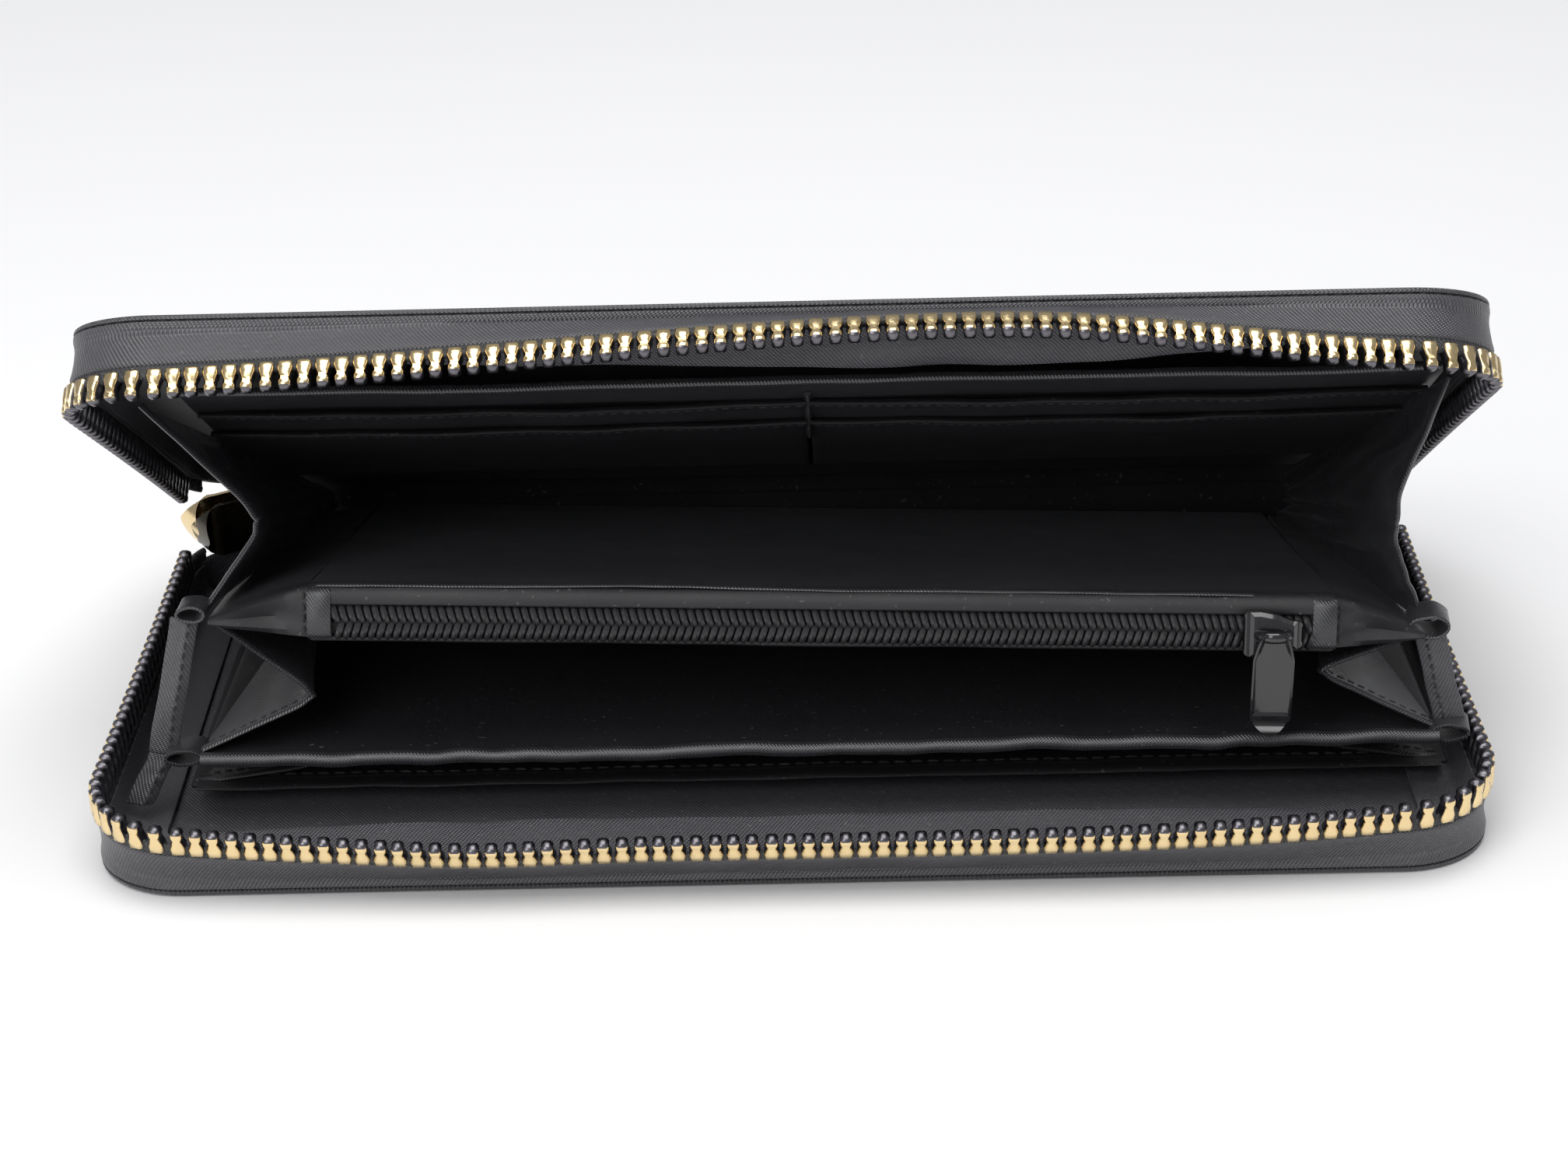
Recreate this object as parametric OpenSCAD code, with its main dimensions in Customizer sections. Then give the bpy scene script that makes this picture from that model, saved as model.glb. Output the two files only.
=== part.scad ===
// Zip around wallet, unzipped and standing open on its lower cover.
// X runs along the wallet, the mouth faces -Y, the spine is at +Y and Z is up.
// The origin is the middle of the lower cover's underside.
// Five leaves turn on the spine: lower cover, divider, coin pocket, card panel and upper cover.

/* [Covers] */
// Length of a cover, side to side
cover_l = 192; // [188:1:196]
// Depth of a cover, spine to mouth
cover_d = 100; // [98:1:102]
// Thickness of a cover: fabric, board and lining
cover_t = 2.2; // [2:0.1:2.4]
// Radius of the two corners at the mouth
mouth_r = 13; // [10:1:16]
// Radius of the two corners at the spine
spine_r = 12; // [10:1:14]

/* [Opening] */
// Angle of the divider above the lower cover
divider_a = 5.4; // [5:0.1:6]
// Angle of the coin pocket above the lower cover
coin_a = 13.7; // [13:0.1:14.5]
// Angle of the card panel above the lower cover
card_a = 32.2; // [31:0.1:33]
// Angle of the upper cover above the lower cover
upper_a = 32.3; // [31:0.1:34]
// Sideways tilt of the coin pocket, lower at the right
coin_tilt = 1.85; // [0:0.05:2]

/* [Main zip] */
// Spacing of the teeth along the zip
tooth_pitch = 2.5; // [2.4:0.1:3]
// Height of a tooth from its foot to its head
tooth_h = 4.1; // [3.8:0.1:4.2]
// Thickness of a tooth through the tape
tooth_t = 2.2; // [2:0.1:2.4]
// Height of the band that carries one half of the zip, teeth included
band_h = 10.1; // [9.8:0.1:10.1]

/* [Inner leaves] */
// Width of the divider
divider_w = 172; // [168:1:174]
// Width of the coin pocket between its pointed ends
coin_w = 166; // [162:1:168]
// Width of the card panel
card_w = 174; // [170:1:176]
// How far the inner leaves sit to the right of the middle
leaf_shift = 4; // [3:0.5:4]
// Height of the coin pocket's front, where its zip is
coin_h = 9.6; // [9:0.1:10]

/* [Hidden] */
$fn = 48;

// Colours
charcoal = [0.10, 0.10, 0.11];
lining_grey = [0.14, 0.14, 0.15];
black = [0.05, 0.05, 0.055];
gold = [0.80, 0.70, 0.45];
board_grey = [0.55, 0.53, 0.50];

// Hinge lines at the spine, one above the other when the wallet is shut
half_l = cover_l / 2;
half_d = cover_d / 2;
back_gap = 0.8;
hinge_y = half_d - back_gap;
hinge_z = [0, 5, 11, 17, 22.6];
leaf_a = [0, divider_a, coin_a, card_a, upper_a];

// A step of (0, rise) in a leaf's own frame, turned to the wallet's frame
function up_step(rise, a) = [rise * sin(a), rise * cos(a)];
function hinge(i) = i <= 1 ? [hinge_y, hinge_z[i]]
    : hinge(i - 1) + up_step(hinge_z[i] - hinge_z[i - 1], leaf_a[i - 1]);

// A leaf's frame: x as the wallet's, -y towards the mouth along the leaf, z out of its upper face
module on_leaf(i) {
    translate([0, hinge(i)[0], hinge(i)[1]])
        rotate([-leaf_a[i], 0, 0])
            children();
}

module on_coin_leaf() {
    on_leaf(2)
        rotate([0, coin_tilt, 0])
            children();
}

// Cover layers
fabric_t = 0.8;
lining_t = 0.6;
board_t = cover_t - fabric_t - lining_t;
board_inset = 3;
lining_inset = 0.6;

// Zip chain, measured along the cover's edge and up the band from the cover
edge_inset = 1.4;
band_t = 1.2;
band_foot = 0.15;
tooth_foot = band_h - tooth_h;
tape_foot = tooth_foot - 0.4;
tape_top = tooth_foot + 1.3;
tape_t = 0.6;
tooth_slot_t = 0.9;
tooth_slot_top = tooth_foot + 1.4;
tooth_w = 1.5;
chain_start = 16;

// The chain's line is the cover's outline drawn in by edge_inset. It runs from the left end of the
// spine, round the left side, the mouth and the right side. dist is the distance along it.
chain_x = half_l - edge_inset;
chain_rear = cover_d - edge_inset - back_gap;
rear_r = spine_r - edge_inset;
front_r = mouth_r - edge_inset;
rear_arc = rear_r * PI / 2;
side_run = chain_rear - edge_inset + back_gap - rear_r - front_r;
front_arc = front_r * PI / 2;
front_run = 2 * (chain_x - front_r);
chain_l = 2 * (rear_arc + side_run + front_arc) + front_run;
rear_y = edge_inset - back_gap;

// Point and outward direction on the chain's left half, in a cover's frame with y as depth from the hinge
function left_point(d) =
    d < rear_arc
    ? let (t = 90 - 90 * d / rear_arc)
        [-chain_x + rear_r - rear_r * cos(t), rear_y + rear_r - rear_r * sin(t), -cos(t), -sin(t)]
    : d < rear_arc + side_run
    ? [-chain_x, rear_y + rear_r + d - rear_arc, -1, 0]
    : d < rear_arc + side_run + front_arc
    ? let (t = 90 * (d - rear_arc - side_run) / front_arc)
        [-chain_x + front_r - front_r * cos(t), chain_rear - front_r + front_r * sin(t), -cos(t), sin(t)]
    : [-chain_x + front_r + d - rear_arc - side_run - front_arc, chain_rear, 0, 1];

function chain_point(d) =
    d <= chain_l / 2
    ? left_point(d)
    : let (p = left_point(chain_l - d)) [-p[0], p[1], -p[2], p[3]];

// How far the unzipped band leans out from square, in degrees
function side_share(p) = pow(max(0, min(1, p[1] / chain_rear)), 2);
function lower_lean(p) =
    side_share(p) * (8 + 38 * (1 - pow(abs(p[0]) / half_l, 4)) + 5 * exp(-pow((p[0] + 43) / 14, 2)));
function upper_lean(p) =
    side_share(p) * 76 * exp(-pow((p[0] - 27) / (p[0] < 27 ? 100 : 54), 2));

// A point of a band: h up from the cover, w out through the thickness. side is 1 on the lower cover
// and -1 on the upper.
function band_point(d, h, w, side) =
    let (p = chain_point(d), a = side > 0 ? lower_lean(p) : upper_lean(p))
    [
        p[0] + p[2] * (h * sin(a) + w * cos(a)),
        -(p[1] + p[3] * (h * sin(a) + w * cos(a))),
        side * (h * cos(a) - w * sin(a))
    ];

// A point at the foot of a wall. A wall that starts at the cover stands flat on it, however it leans.
function foot_point(d, h, w, side) =
    let (p = chain_point(d), a = side > 0 ? lower_lean(p) : upper_lean(p))
    band_point(d, h > band_foot ? h : (h + w * sin(a)) / cos(a), w, side);

// Stations along the chain from one distance to another
wall_step = 2.5;
function stations(from, to, step) = let (n = ceil((to - from) / step)) [for (i = [0:n]) from + (to - from) * i / n];

// A wall that follows the chain between two heights
module band_wall(from, to, h0, h1, t, side) {
    ds = stations(from, to, wall_step);
    n = len(ds);
    rings = [for (d = ds) [
        foot_point(d, h0, -t / 2, side), foot_point(d, h0, t / 2, side),
        band_point(d, h1, t / 2, side), band_point(d, h1, -t / 2, side)
    ]];
    walls = [for (i = [0:n - 2]) for (k = [0:3]) each
        let (a = 4 * i + k, b = 4 * i + (k + 1) % 4, c = a + 4, e = b + 4)
        side > 0 ? [[a, b, e], [a, e, c]] : [[a, e, b], [a, c, e]]];
    ends = side > 0 ? [[0, 3, 2, 1], [4 * n - 4, 4 * n - 3, 4 * n - 2, 4 * n - 1]]
        : [[0, 1, 2, 3], [4 * n - 4, 4 * n - 1, 4 * n - 2, 4 * n - 3]];
    polyhedron(points = [for (r = rings) each r], faces = concat(walls, ends), convexity = 10);
}

// One tooth: two legs that straddle the tape, and the head that joins them
module tooth() {
    rotate([90, 0, 90])
        linear_extrude(tooth_w, center = true)
            polygon([
                [-tooth_t / 2, tooth_foot], [-tooth_slot_t / 2, tooth_foot],
                [-tooth_slot_t / 2, tooth_slot_top], [tooth_slot_t / 2, tooth_slot_top],
                [tooth_slot_t / 2, tooth_foot], [tooth_t / 2, tooth_foot],
                [tooth_t / 2, band_h - 0.9], [tooth_t / 2 - 0.6, band_h],
                [0.6 - tooth_t / 2, band_h], [-tooth_t / 2, band_h - 0.9]
            ]);
}

// Teeth along the chain, each square to the path and leaning with the band
module teeth_row(from, side) {
    count = floor((chain_l - 2 * from) / tooth_pitch);
    for (i = [0:count]) {
        d = chain_l / 2 + (i - count / 2) * tooth_pitch;
        p = chain_point(d);
        a = side > 0 ? lower_lean(p) : upper_lean(p);
        out = atan2(-p[3], p[2]);
        translate([p[0], -p[1], 0])
            rotate([0, 0, out])
                rotate([0, side > 0 ? a : 180 - a, 0])
                    rotate([0, 0, 90])
                        tooth();
    }
}

// A cover's outline, as deep as the cover and rounded at all four corners
module cover_outline(inset) {
    union() {
        for (s = [-1, 1]) {
            translate([s * (half_l - mouth_r), -half_d + mouth_r])
                circle(mouth_r - inset);
            translate([s * (half_l - spine_r), half_d - spine_r])
                circle(spine_r - inset);
        }
        translate([-half_l + inset, -half_d + mouth_r])
            square([cover_l - 2 * inset, cover_d - mouth_r - spine_r]);
        translate([-half_l + mouth_r, -half_d + inset])
            square([cover_l - 2 * mouth_r, mouth_r]);
        translate([-half_l + spine_r, half_d - spine_r])
            square([cover_l - 2 * spine_r, spine_r - inset]);
    }
}

module cover_shell() {
    difference() {
        linear_extrude(fabric_t + board_t)
            cover_outline(0);
        translate([0, 0, fabric_t])
            linear_extrude(board_t + 1)
                cover_outline(board_inset);
    }
}

module cover_board() {
    translate([0, 0, fabric_t])
        linear_extrude(board_t)
            cover_outline(board_inset);
}

module cover_lining() {
    translate([0, 0, fabric_t + board_t])
        linear_extrude(lining_t)
            cover_outline(lining_inset);
}

// The upper cover is the lower one turned over, with its lining facing down
upper_clear = 0.1;
module upper_layer() {
    on_leaf(4)
        translate([0, -hinge_y, upper_clear + cover_t])
            mirror([0, 0, 1])
                children();
}

module lower_shell() { color(charcoal) cover_shell(); }
module lower_board() { color(board_grey) cover_board(); }
module lower_lining() { color(lining_grey) cover_lining(); }
module upper_shell() { color(charcoal) upper_layer() cover_shell(); }
module upper_board() { color(board_grey) upper_layer() cover_board(); }
module upper_lining() { color(lining_grey) upper_layer() cover_lining(); }

// The main zip, one half on each cover
module on_lower_cover() {
    translate([0, hinge_y, cover_t])
        children();
}

module on_upper_cover() {
    on_leaf(4)
        translate([0, 0, upper_clear])
            children();
}

band_from = 2;
band_end = chain_l - band_from;

module lower_zip_band() {
    color(charcoal)
        on_lower_cover()
            band_wall(band_from, band_end, band_foot, tape_foot - 0.1, band_t, 1);
}

module lower_zip_tape() {
    color(black)
        on_lower_cover()
            band_wall(chain_start, chain_l - chain_start, tape_foot, tape_top, tape_t, 1);
}

module lower_zip_teeth() {
    color(gold)
        on_lower_cover()
            teeth_row(chain_start + 1, 1);
}

module upper_zip_band() {
    color(charcoal)
        on_upper_cover()
            band_wall(band_from, band_end, band_foot, tape_foot - 0.1, band_t, -1);
}

module upper_zip_tape() {
    color(black)
        on_upper_cover()
            band_wall(chain_start, chain_l - chain_start, tape_foot, tape_top, tape_t, -1);
}

module upper_zip_teeth() {
    color(gold)
        on_upper_cover()
            teeth_row(chain_start + 1, -1);
}

// Main slider, turned round the left corner of the spine, above the corner's centre
slider_turn = 58;
slider_l = 10.5;
slider_w = 8.6;
plate_t = 1;
slider_gap = 3.2;
chain_z = 12.45;
corner_x = -half_l + spine_r;
corner_y = half_d - spine_r;
slider_pin_r = 0.6;
pin_clear = 0.05;
pull_eye_r = 1.4;
pull_x = slider_gap / 2 + plate_t + 1.7;
post_l = 2;
post_w = 1.6;
ear_t = 1;
ear_gap = 0.3;
slider_pull_l = 26;
slider_pull_w = 3.6;
slider_pull_t = 1.2;
pull_turn = -10;

// The slider's frame: x out through its plates, y along the chain and z up, at the corner's centre
module on_slider() {
    translate([corner_x, corner_y, chain_z])
        rotate([0, 0, 180 - slider_turn])
            translate([rear_r, 0, 0])
                children();
}

module slider_plate() {
    rotate([90, 0, 90])
        linear_extrude(plate_t, center = true)
            union() {
                translate([-slider_l / 2, -slider_w / 2])
                    square([slider_l - slider_w / 2, slider_w]);
                translate([slider_l / 2 - slider_w / 2, 0])
                    circle(slider_w / 2);
            }
}

module zip_slider_body() {
    color(gold)
        on_slider() {
            for (s = [-1, 1])
                translate([s * (slider_gap + plate_t) / 2, 0, 0])
                    slider_plate();
            translate([0, slider_l / 2 - 1.6, 0])
                cube([slider_gap + plate_t, post_l, post_w], center = true);
            for (s = [-1, 1])
                translate([pull_x - 0.9, 0, s * (slider_pull_w / 2 + ear_gap + ear_t / 2)])
                    cube([3.4, 2.2, ear_t], center = true);
            translate([pull_x, 0, 0])
                cylinder(r = slider_pin_r, h = slider_pull_w + 2 * ear_gap + ear_t, center = true);
        }
}

// The pull lies back past the spine, at pull_turn from the slider's own line
module zip_pull() {
    color(gold)
        on_slider()
            translate([pull_x, 0, 0])
                rotate([0, 0, pull_turn])
                    difference() {
                        union() {
                            cylinder(r = pull_eye_r, h = slider_pull_w, center = true);
                            translate([-slider_pull_t / 2, slider_pull_w / 2 - slider_pull_l, -slider_pull_w / 2])
                                cube([slider_pull_t, slider_pull_l - slider_pull_w / 2, slider_pull_w]);
                            translate([-slider_pull_t / 2, slider_pull_w / 2 - slider_pull_l, 0])
                                rotate([0, 90, 0])
                                    cylinder(r = slider_pull_w / 2, h = slider_pull_t);
                        }
                        cylinder(r = slider_pin_r + pin_clear, h = slider_pull_w + 2, center = true);
                    }
}

// The stop that joins the two chains at the right end of the spine
module zip_end_stop() {
    color(gold)
        on_lower_cover()
            translate([half_l - spine_r + rear_r * cos(50), back_gap - spine_r + rear_r * sin(50), band_h - 2.2])
                rotate([0, 0, 50])
                    cube([3, 4, 3.6], center = true);
}

// Inner leaves. depth is measured from the hinge towards the mouth.
sheet_t = 1.2;
leaf_back = 1.6;
divider_d = 84;
slip_w = 178;
slip_d = 78;
slip_rise = 2.7;
back_corner = 11;

// A flat sheet across a leaf, from depth a to depth b and from z0 to z1
module sheet(x0, x1, a, b, z0, z1) {
    translate([x0, -b, z0])
        cube([x1 - x0, b - a, z1 - z0]);
}

// A leaf as wide as the cover takes, with its back corners cut off clear of the zip's band
module cornered_sheet(x0, x1, a, b, z0, z1) {
    translate([0, 0, z0])
        linear_extrude(z1 - z0)
            polygon([
                [x0, -b], [x1, -b], [x1, -a - back_corner], [x1 - back_corner, -a],
                [x0 + back_corner, -a], [x0, -a - back_corner]
            ]);
}

// A sheet with a side outline of (depth, z) points
module side_profile(x0, x1, points) {
    translate([x0, 0, 0])
        rotate([90, 0, 90])
            linear_extrude(x1 - x0)
                polygon([for (p = points) [-p[0], p[1]]]);
}

module slip_pocket() {
    color(lining_grey)
        on_lower_cover()
            intersection() {
                side_profile(leaf_shift - slip_w / 2, leaf_shift + slip_w / 2, [
                    [leaf_back + 1, 0.1], [leaf_back + 1, 0.9], [slip_d, slip_rise + 1.2],
                    [slip_d + 1, slip_rise + 0.9], [slip_d, slip_rise]
                ]);
                cornered_sheet(leaf_shift - slip_w / 2, leaf_shift + slip_w / 2, leaf_back, slip_d + 2, 0, slip_rise + 2);
            }
}

module divider() {
    color(lining_grey)
        on_leaf(1)
            cornered_sheet(leaf_shift - divider_w / 2, leaf_shift + divider_w / 2, leaf_back, divider_d,
                -sheet_t / 2, sheet_t / 2);
}

// The rolled hem along the divider's front edge
module divider_hem() {
    color(lining_grey)
        on_leaf(1)
            translate([leaf_shift - divider_w / 2, -divider_d - 1, 0])
                rotate([0, 90, 0])
                    cylinder(r = 1, h = divider_w);
}

// Spine ribs: the piece of spine between one leaf's hinge and the next leaf's
spine_l = 2 * (half_l - spine_r);
spine_t = 1.4;
rib_gap = 0.35;
module spine_rib(i) {
    rise = hinge_z[i + 1] - hinge_z[i];
    translate([-spine_l / 2, -spine_t / 2, rib_gap])
        cube([spine_l, spine_t, rise - 2 * rib_gap]);
}

module spine_foot() {
    color(charcoal)
        translate([-spine_l / 2, hinge_y - spine_t / 2, cover_t])
            cube([spine_l, spine_t, hinge_z[1] - cover_t - rib_gap]);
}

module spine_rib_divider() { color(charcoal) on_leaf(1) spine_rib(1); }
module spine_rib_coin() { color(charcoal) on_leaf(2) spine_rib(2); }
module spine_rib_card() { color(charcoal) on_leaf(3) spine_rib(3); }

// Coin pocket: a wedge that opens towards the mouth, closed there by a coil zip
coin_d = 86;
coin_half = coin_h / 2;
coin_skin = 0.8;
coin_back = 1.3;
coin_x0 = leaf_shift - coin_w / 2;
coin_x1 = leaf_shift + coin_w / 2;
coin_body_x0 = -65;
coin_body_x1 = 74.5;
coin_end_t = 1.2;
coil_r = 1;
stop_w = 3;

module coin_upper_wall() {
    color(lining_grey)
        on_coin_leaf()
            side_profile(coin_body_x0, coin_body_x1, [
                [leaf_back, -0.4], [leaf_back, coin_back], [coin_d, coin_half],
                [coin_d, coin_half - coin_skin], [leaf_back + 0.8, 0.5], [leaf_back + 0.8, -0.4]
            ]);
}

module coin_lower_wall() {
    color(lining_grey)
        on_coin_leaf()
            side_profile(coin_body_x0, coin_body_x1, [
                [leaf_back, -coin_back], [leaf_back, -0.5], [leaf_back + 0.8, -0.5],
                [coin_d, coin_skin - coin_half], [coin_d, -coin_half]
            ]);
}

// The folded end of the pocket, from its full height down to a point at the leaf's end
module coin_end(x_body, x_tip) {
    dir = sign(x_tip - x_body);
    hull() {
        side_profile(min(x_body, x_body + dir * 0.5), max(x_body, x_body + dir * 0.5), [
            [leaf_back + 4, -coin_back], [leaf_back + 4, coin_back], [coin_d, coin_half], [coin_d, -coin_half]
        ]);
        sheet(min(x_tip, x_tip - dir), max(x_tip, x_tip - dir), leaf_back + 6, coin_d - 1, -coin_end_t / 2, coin_end_t / 2);
    }
}

module coin_end_left() { color(lining_grey) on_coin_leaf() coin_end(coin_body_x0 - 0.05, coin_x0); }
module coin_end_right() { color(lining_grey) on_coin_leaf() coin_end(coin_body_x1 + 0.05, coin_x1); }

// A tape of the coin zip: a strip across the pocket's front, above or below the coils
module coin_tape(side) {
    z0 = 2 * coil_r + 0.1;
    sheet(coin_body_x0 + stop_w, coin_body_x1 - stop_w, coin_d + 0.1, coin_d + 0.8,
        side > 0 ? z0 : -coin_half, side > 0 ? coin_half : -z0);
}

module coin_coil(side) {
    translate([coin_body_x0 + stop_w, -coin_d - 0.6, side * (coil_r + 0.03)])
        rotate([0, 90, 0])
            cylinder(r = coil_r, h = coin_body_x1 - coin_body_x0 - 2 * stop_w);
}

// The fabric tab over each end of the coin zip
module coin_stop(x) {
    sheet(x, x + stop_w - 0.1, coin_d + 0.1, coin_d + 1.7, -coin_half, coin_half);
}

module coin_tape_upper() { color(black) on_coin_leaf() coin_tape(1); }
module coin_tape_lower() { color(black) on_coin_leaf() coin_tape(-1); }
module coin_coil_upper() { color(black) on_coin_leaf() coin_coil(1); }
module coin_coil_lower() { color(black) on_coin_leaf() coin_coil(-1); }
module coin_stop_left() { color(black) on_coin_leaf() coin_stop(coin_body_x0); }
module coin_stop_right() { color(black) on_coin_leaf() coin_stop(coin_body_x1 - stop_w + 0.1); }

// Coin zip slider, at the right end of its chain
coin_slider_x = 66;
coin_slider_l = 8.2;
coin_slider_w = 6.2;
coin_slider_depth = coin_d + 1.9;
coin_slider_t = 1.1;
coin_pin_depth = coin_slider_depth + coin_slider_t + 1.8;
coin_pin_r = 0.45;
coin_ear_x = 1.75;

module on_coin_slider() {
    on_coin_leaf()
        translate([coin_slider_x, 0, 0])
            children();
}

module coin_slider_body() {
    color(black)
        on_coin_slider() {
            translate([0, -coin_slider_depth, 0])
                rotate([90, 0, 0])
                    linear_extrude(coin_slider_t)
                        union() {
                            translate([-coin_slider_l / 2 + 2, -coin_slider_w / 2])
                                square([coin_slider_l - 2, coin_slider_w]);
                            translate([-coin_slider_l / 2, -coin_slider_w / 2 + 2])
                                square([2, coin_slider_w - 4]);
                            for (s = [-1, 1])
                                translate([-coin_slider_l / 2 + 2, s * (coin_slider_w / 2 - 2)])
                                    circle(2);
                        }
            for (s = [-1, 1])
                translate([s * coin_ear_x - 0.4, -coin_pin_depth - 0.8, -1])
                    cube([0.8, coin_pin_depth + 0.8 - coin_slider_depth - coin_slider_t, 2]);
            translate([0, -coin_pin_depth, 0])
                rotate([0, 90, 0])
                    cylinder(r = coin_pin_r, h = 2 * coin_ear_x, center = true);
        }
}

// The pull hangs straight down from its pin
coin_pull_l = 14;
coin_pull_w = 5.6;
coin_pull_t = 0.9;
coin_eye_w = 2.4;

module coin_pull() {
    color(black)
        on_coin_slider()
            translate([0, -coin_pin_depth, 0])
                rotate([coin_a, 0, 0])
                    difference() {
                        union() {
                            rotate([0, 90, 0])
                                cylinder(r = 0.95, h = coin_eye_w, center = true);
                            translate([-coin_eye_w / 2, -coin_pull_t / 2, -4])
                                cube([coin_eye_w, coin_pull_t, 4]);
                            translate([-coin_pull_w / 2, -coin_pull_t / 2, coin_pull_w / 2 - coin_pull_l])
                                cube([coin_pull_w, coin_pull_t, coin_pull_l - coin_pull_w / 2 - 2.6]);
                            translate([0, coin_pull_t / 2, coin_pull_w / 2 - coin_pull_l])
                                rotate([90, 0, 0])
                                    cylinder(r = coin_pull_w / 2, h = coin_pull_t);
                        }
                        rotate([0, 90, 0])
                            cylinder(r = coin_pin_r + pin_clear, h = coin_eye_w + 2, center = true);
                    }
}

// Card panel: a backing sheet with two columns of card pockets on its underside
card_d = 84;
card_t = 1;
card_x0 = leaf_shift - card_w / 2;
card_x1 = leaf_shift + card_w / 2;
seam_x = 3.5;
seam_w = 1;
slot_t = 0.5;
slot_step = 0.55;
slot_edges = [73, 62];
slot_back = 8;

module card_panel() {
    color(lining_grey)
        on_leaf(3)
            cornered_sheet(card_x0, card_x1, leaf_back, card_d, -card_t / 2, card_t / 2);
}

// Card pockets, each shorter and one layer lower than the one before
module card_slots(x0, x1) {
    for (i = [0:len(slot_edges) - 1])
        sheet(x0, x1, slot_back, slot_edges[i],
            -card_t / 2 - (i + 1) * slot_step, -card_t / 2 - (i + 1) * slot_step + slot_t);
}

module card_slots_left() {
    color(lining_grey)
        on_leaf(3)
            card_slots(card_x0 + 1, seam_x - seam_w / 2 - 0.1);
}

module card_slots_right() {
    color(lining_grey)
        on_leaf(3)
            card_slots(seam_x + seam_w / 2 + 0.1, card_x1 - 1);
}

module card_seam() {
    color(black)
        on_leaf(3)
            sheet(seam_x - seam_w / 2, seam_x + seam_w / 2, slot_back, slot_edges[0] + 2,
                -card_t / 2 - 2 * slot_step, -card_t / 2 - 0.05);
}

// Gussets: each is a strip folded in a V between the ends of two leaves
gusset_t = 0.5;
gusset_front = 80;
gusset_back = 16;

// A point at a depth and height on a leaf, in the wallet's frame
function leaf_point(i, x, depth, z) =
    let (h = hinge(i), a = leaf_a[i])
    [x, h[0] - depth * cos(a) + z * sin(a), h[1] + depth * sin(a) + z * cos(a)];
function mid_point(p, q, inward) = [(p[0] + q[0]) / 2 + inward, (p[1] + q[1]) / 2, (p[2] + q[2]) / 2];
function lift(p, dz) = [p[0], p[1], p[2] + dz];

// The outline of a gusset's end: two arms of the same thickness that meet at the inner fold
function gusset_ring(low, high, inward, side) =
    let (reach = 2 * gusset_t / (high[2] - low[2]) * inward)
    [
        low, mid_point(low, high, -side * inward), high,
        lift(high, -gusset_t), mid_point(low, high, side * (reach - inward)), lift(low, gusset_t)
    ];

// side is -1 at the left and 1 at the right. low and high are the two edges, each [front, back].
module gusset(low, high, inward_front, inward_back, side) {
    rings = concat(
        gusset_ring(low[0], high[0], inward_front, side), gusset_ring(low[1], high[1], inward_back, side)
    );
    sides = [for (k = [0:5]) each let (a = k, b = (k + 1) % 6) [[a, a + 6, b + 6], [a, b + 6, b]]];
    caps = [[0, 1, 4], [0, 4, 5], [1, 2, 3], [1, 3, 4], [6, 10, 7], [6, 11, 10], [7, 9, 8], [7, 10, 9]];
    faces = concat(sides, caps);
    polyhedron(points = rings, faces = side > 0 ? [for (f = faces) [f[0], f[2], f[1]]] : faces);
}

function coin_z(x, z) = z - x * sin(coin_tilt);
function leaf_edge(i, x, z) = [leaf_point(i, x, gusset_front, z), leaf_point(i, x, gusset_back, z)];
function slip_edge(x) = [
    [x, hinge_y - gusset_front + 6, cover_t + slip_rise + 1.6],
    [x, hinge_y - gusset_back, cover_t + 1.8]
];

module gusset_bottom(side) {
    x = leaf_shift + side * (divider_w / 2 - 1);
    color(lining_grey)
        gusset(slip_edge(x), [leaf_point(1, x, gusset_front - 4, -1), leaf_point(1, x, gusset_back, -1)], 14, 2, side);
}

module gusset_lower(side) {
    x = leaf_shift + side * (coin_w / 2 - 1);
    color(lining_grey)
        gusset(leaf_edge(1, x, 1), leaf_edge(2, x, coin_z(x, -1.6)), 14, 3, side);
}

module gusset_upper(side) {
    x = leaf_shift + side * (coin_w / 2 - 1);
    color(lining_grey)
        gusset(leaf_edge(2, x, coin_z(x, 1.6)), leaf_edge(3, x, -2.4), side < 0 ? 12 : 6, 3, side);
}

module gusset_bottom_left() { gusset_bottom(-1); }
module gusset_bottom_right() { gusset_bottom(1); }
module gusset_lower_left() { gusset_lower(-1); }
module gusset_lower_right() { gusset_lower(1); }
module gusset_upper_left() { gusset_upper(-1); }
module gusset_upper_right() { gusset_upper(1); }

lower_shell();
lower_board();
lower_lining();
lower_zip_band();
lower_zip_tape();
lower_zip_teeth();
slip_pocket();
spine_foot();
zip_slider_body();
zip_pull();
zip_end_stop();
divider();
divider_hem();
spine_rib_divider();
coin_upper_wall();
coin_lower_wall();
coin_tape_upper();
coin_tape_lower();
coin_coil_upper();
coin_coil_lower();
coin_end_left();
coin_end_right();
coin_stop_left();
coin_stop_right();
spine_rib_coin();
coin_slider_body();
coin_pull();
card_panel();
card_slots_left();
card_slots_right();
card_seam();
spine_rib_card();
upper_shell();
upper_board();
upper_lining();
upper_zip_band();
upper_zip_tape();
upper_zip_teeth();
gusset_bottom_left();
gusset_bottom_right();
gusset_lower_left();
gusset_lower_right();
gusset_upper_left();
gusset_upper_right();
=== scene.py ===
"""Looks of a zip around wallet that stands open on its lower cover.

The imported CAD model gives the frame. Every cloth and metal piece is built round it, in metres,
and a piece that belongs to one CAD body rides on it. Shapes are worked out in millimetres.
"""

import logging
import math
from dataclasses import dataclass
from enum import Enum
from functools import lru_cache
from typing import Callable, Optional, Sequence

import bmesh
import bpy
from mathutils import Matrix, Vector, noise


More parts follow.
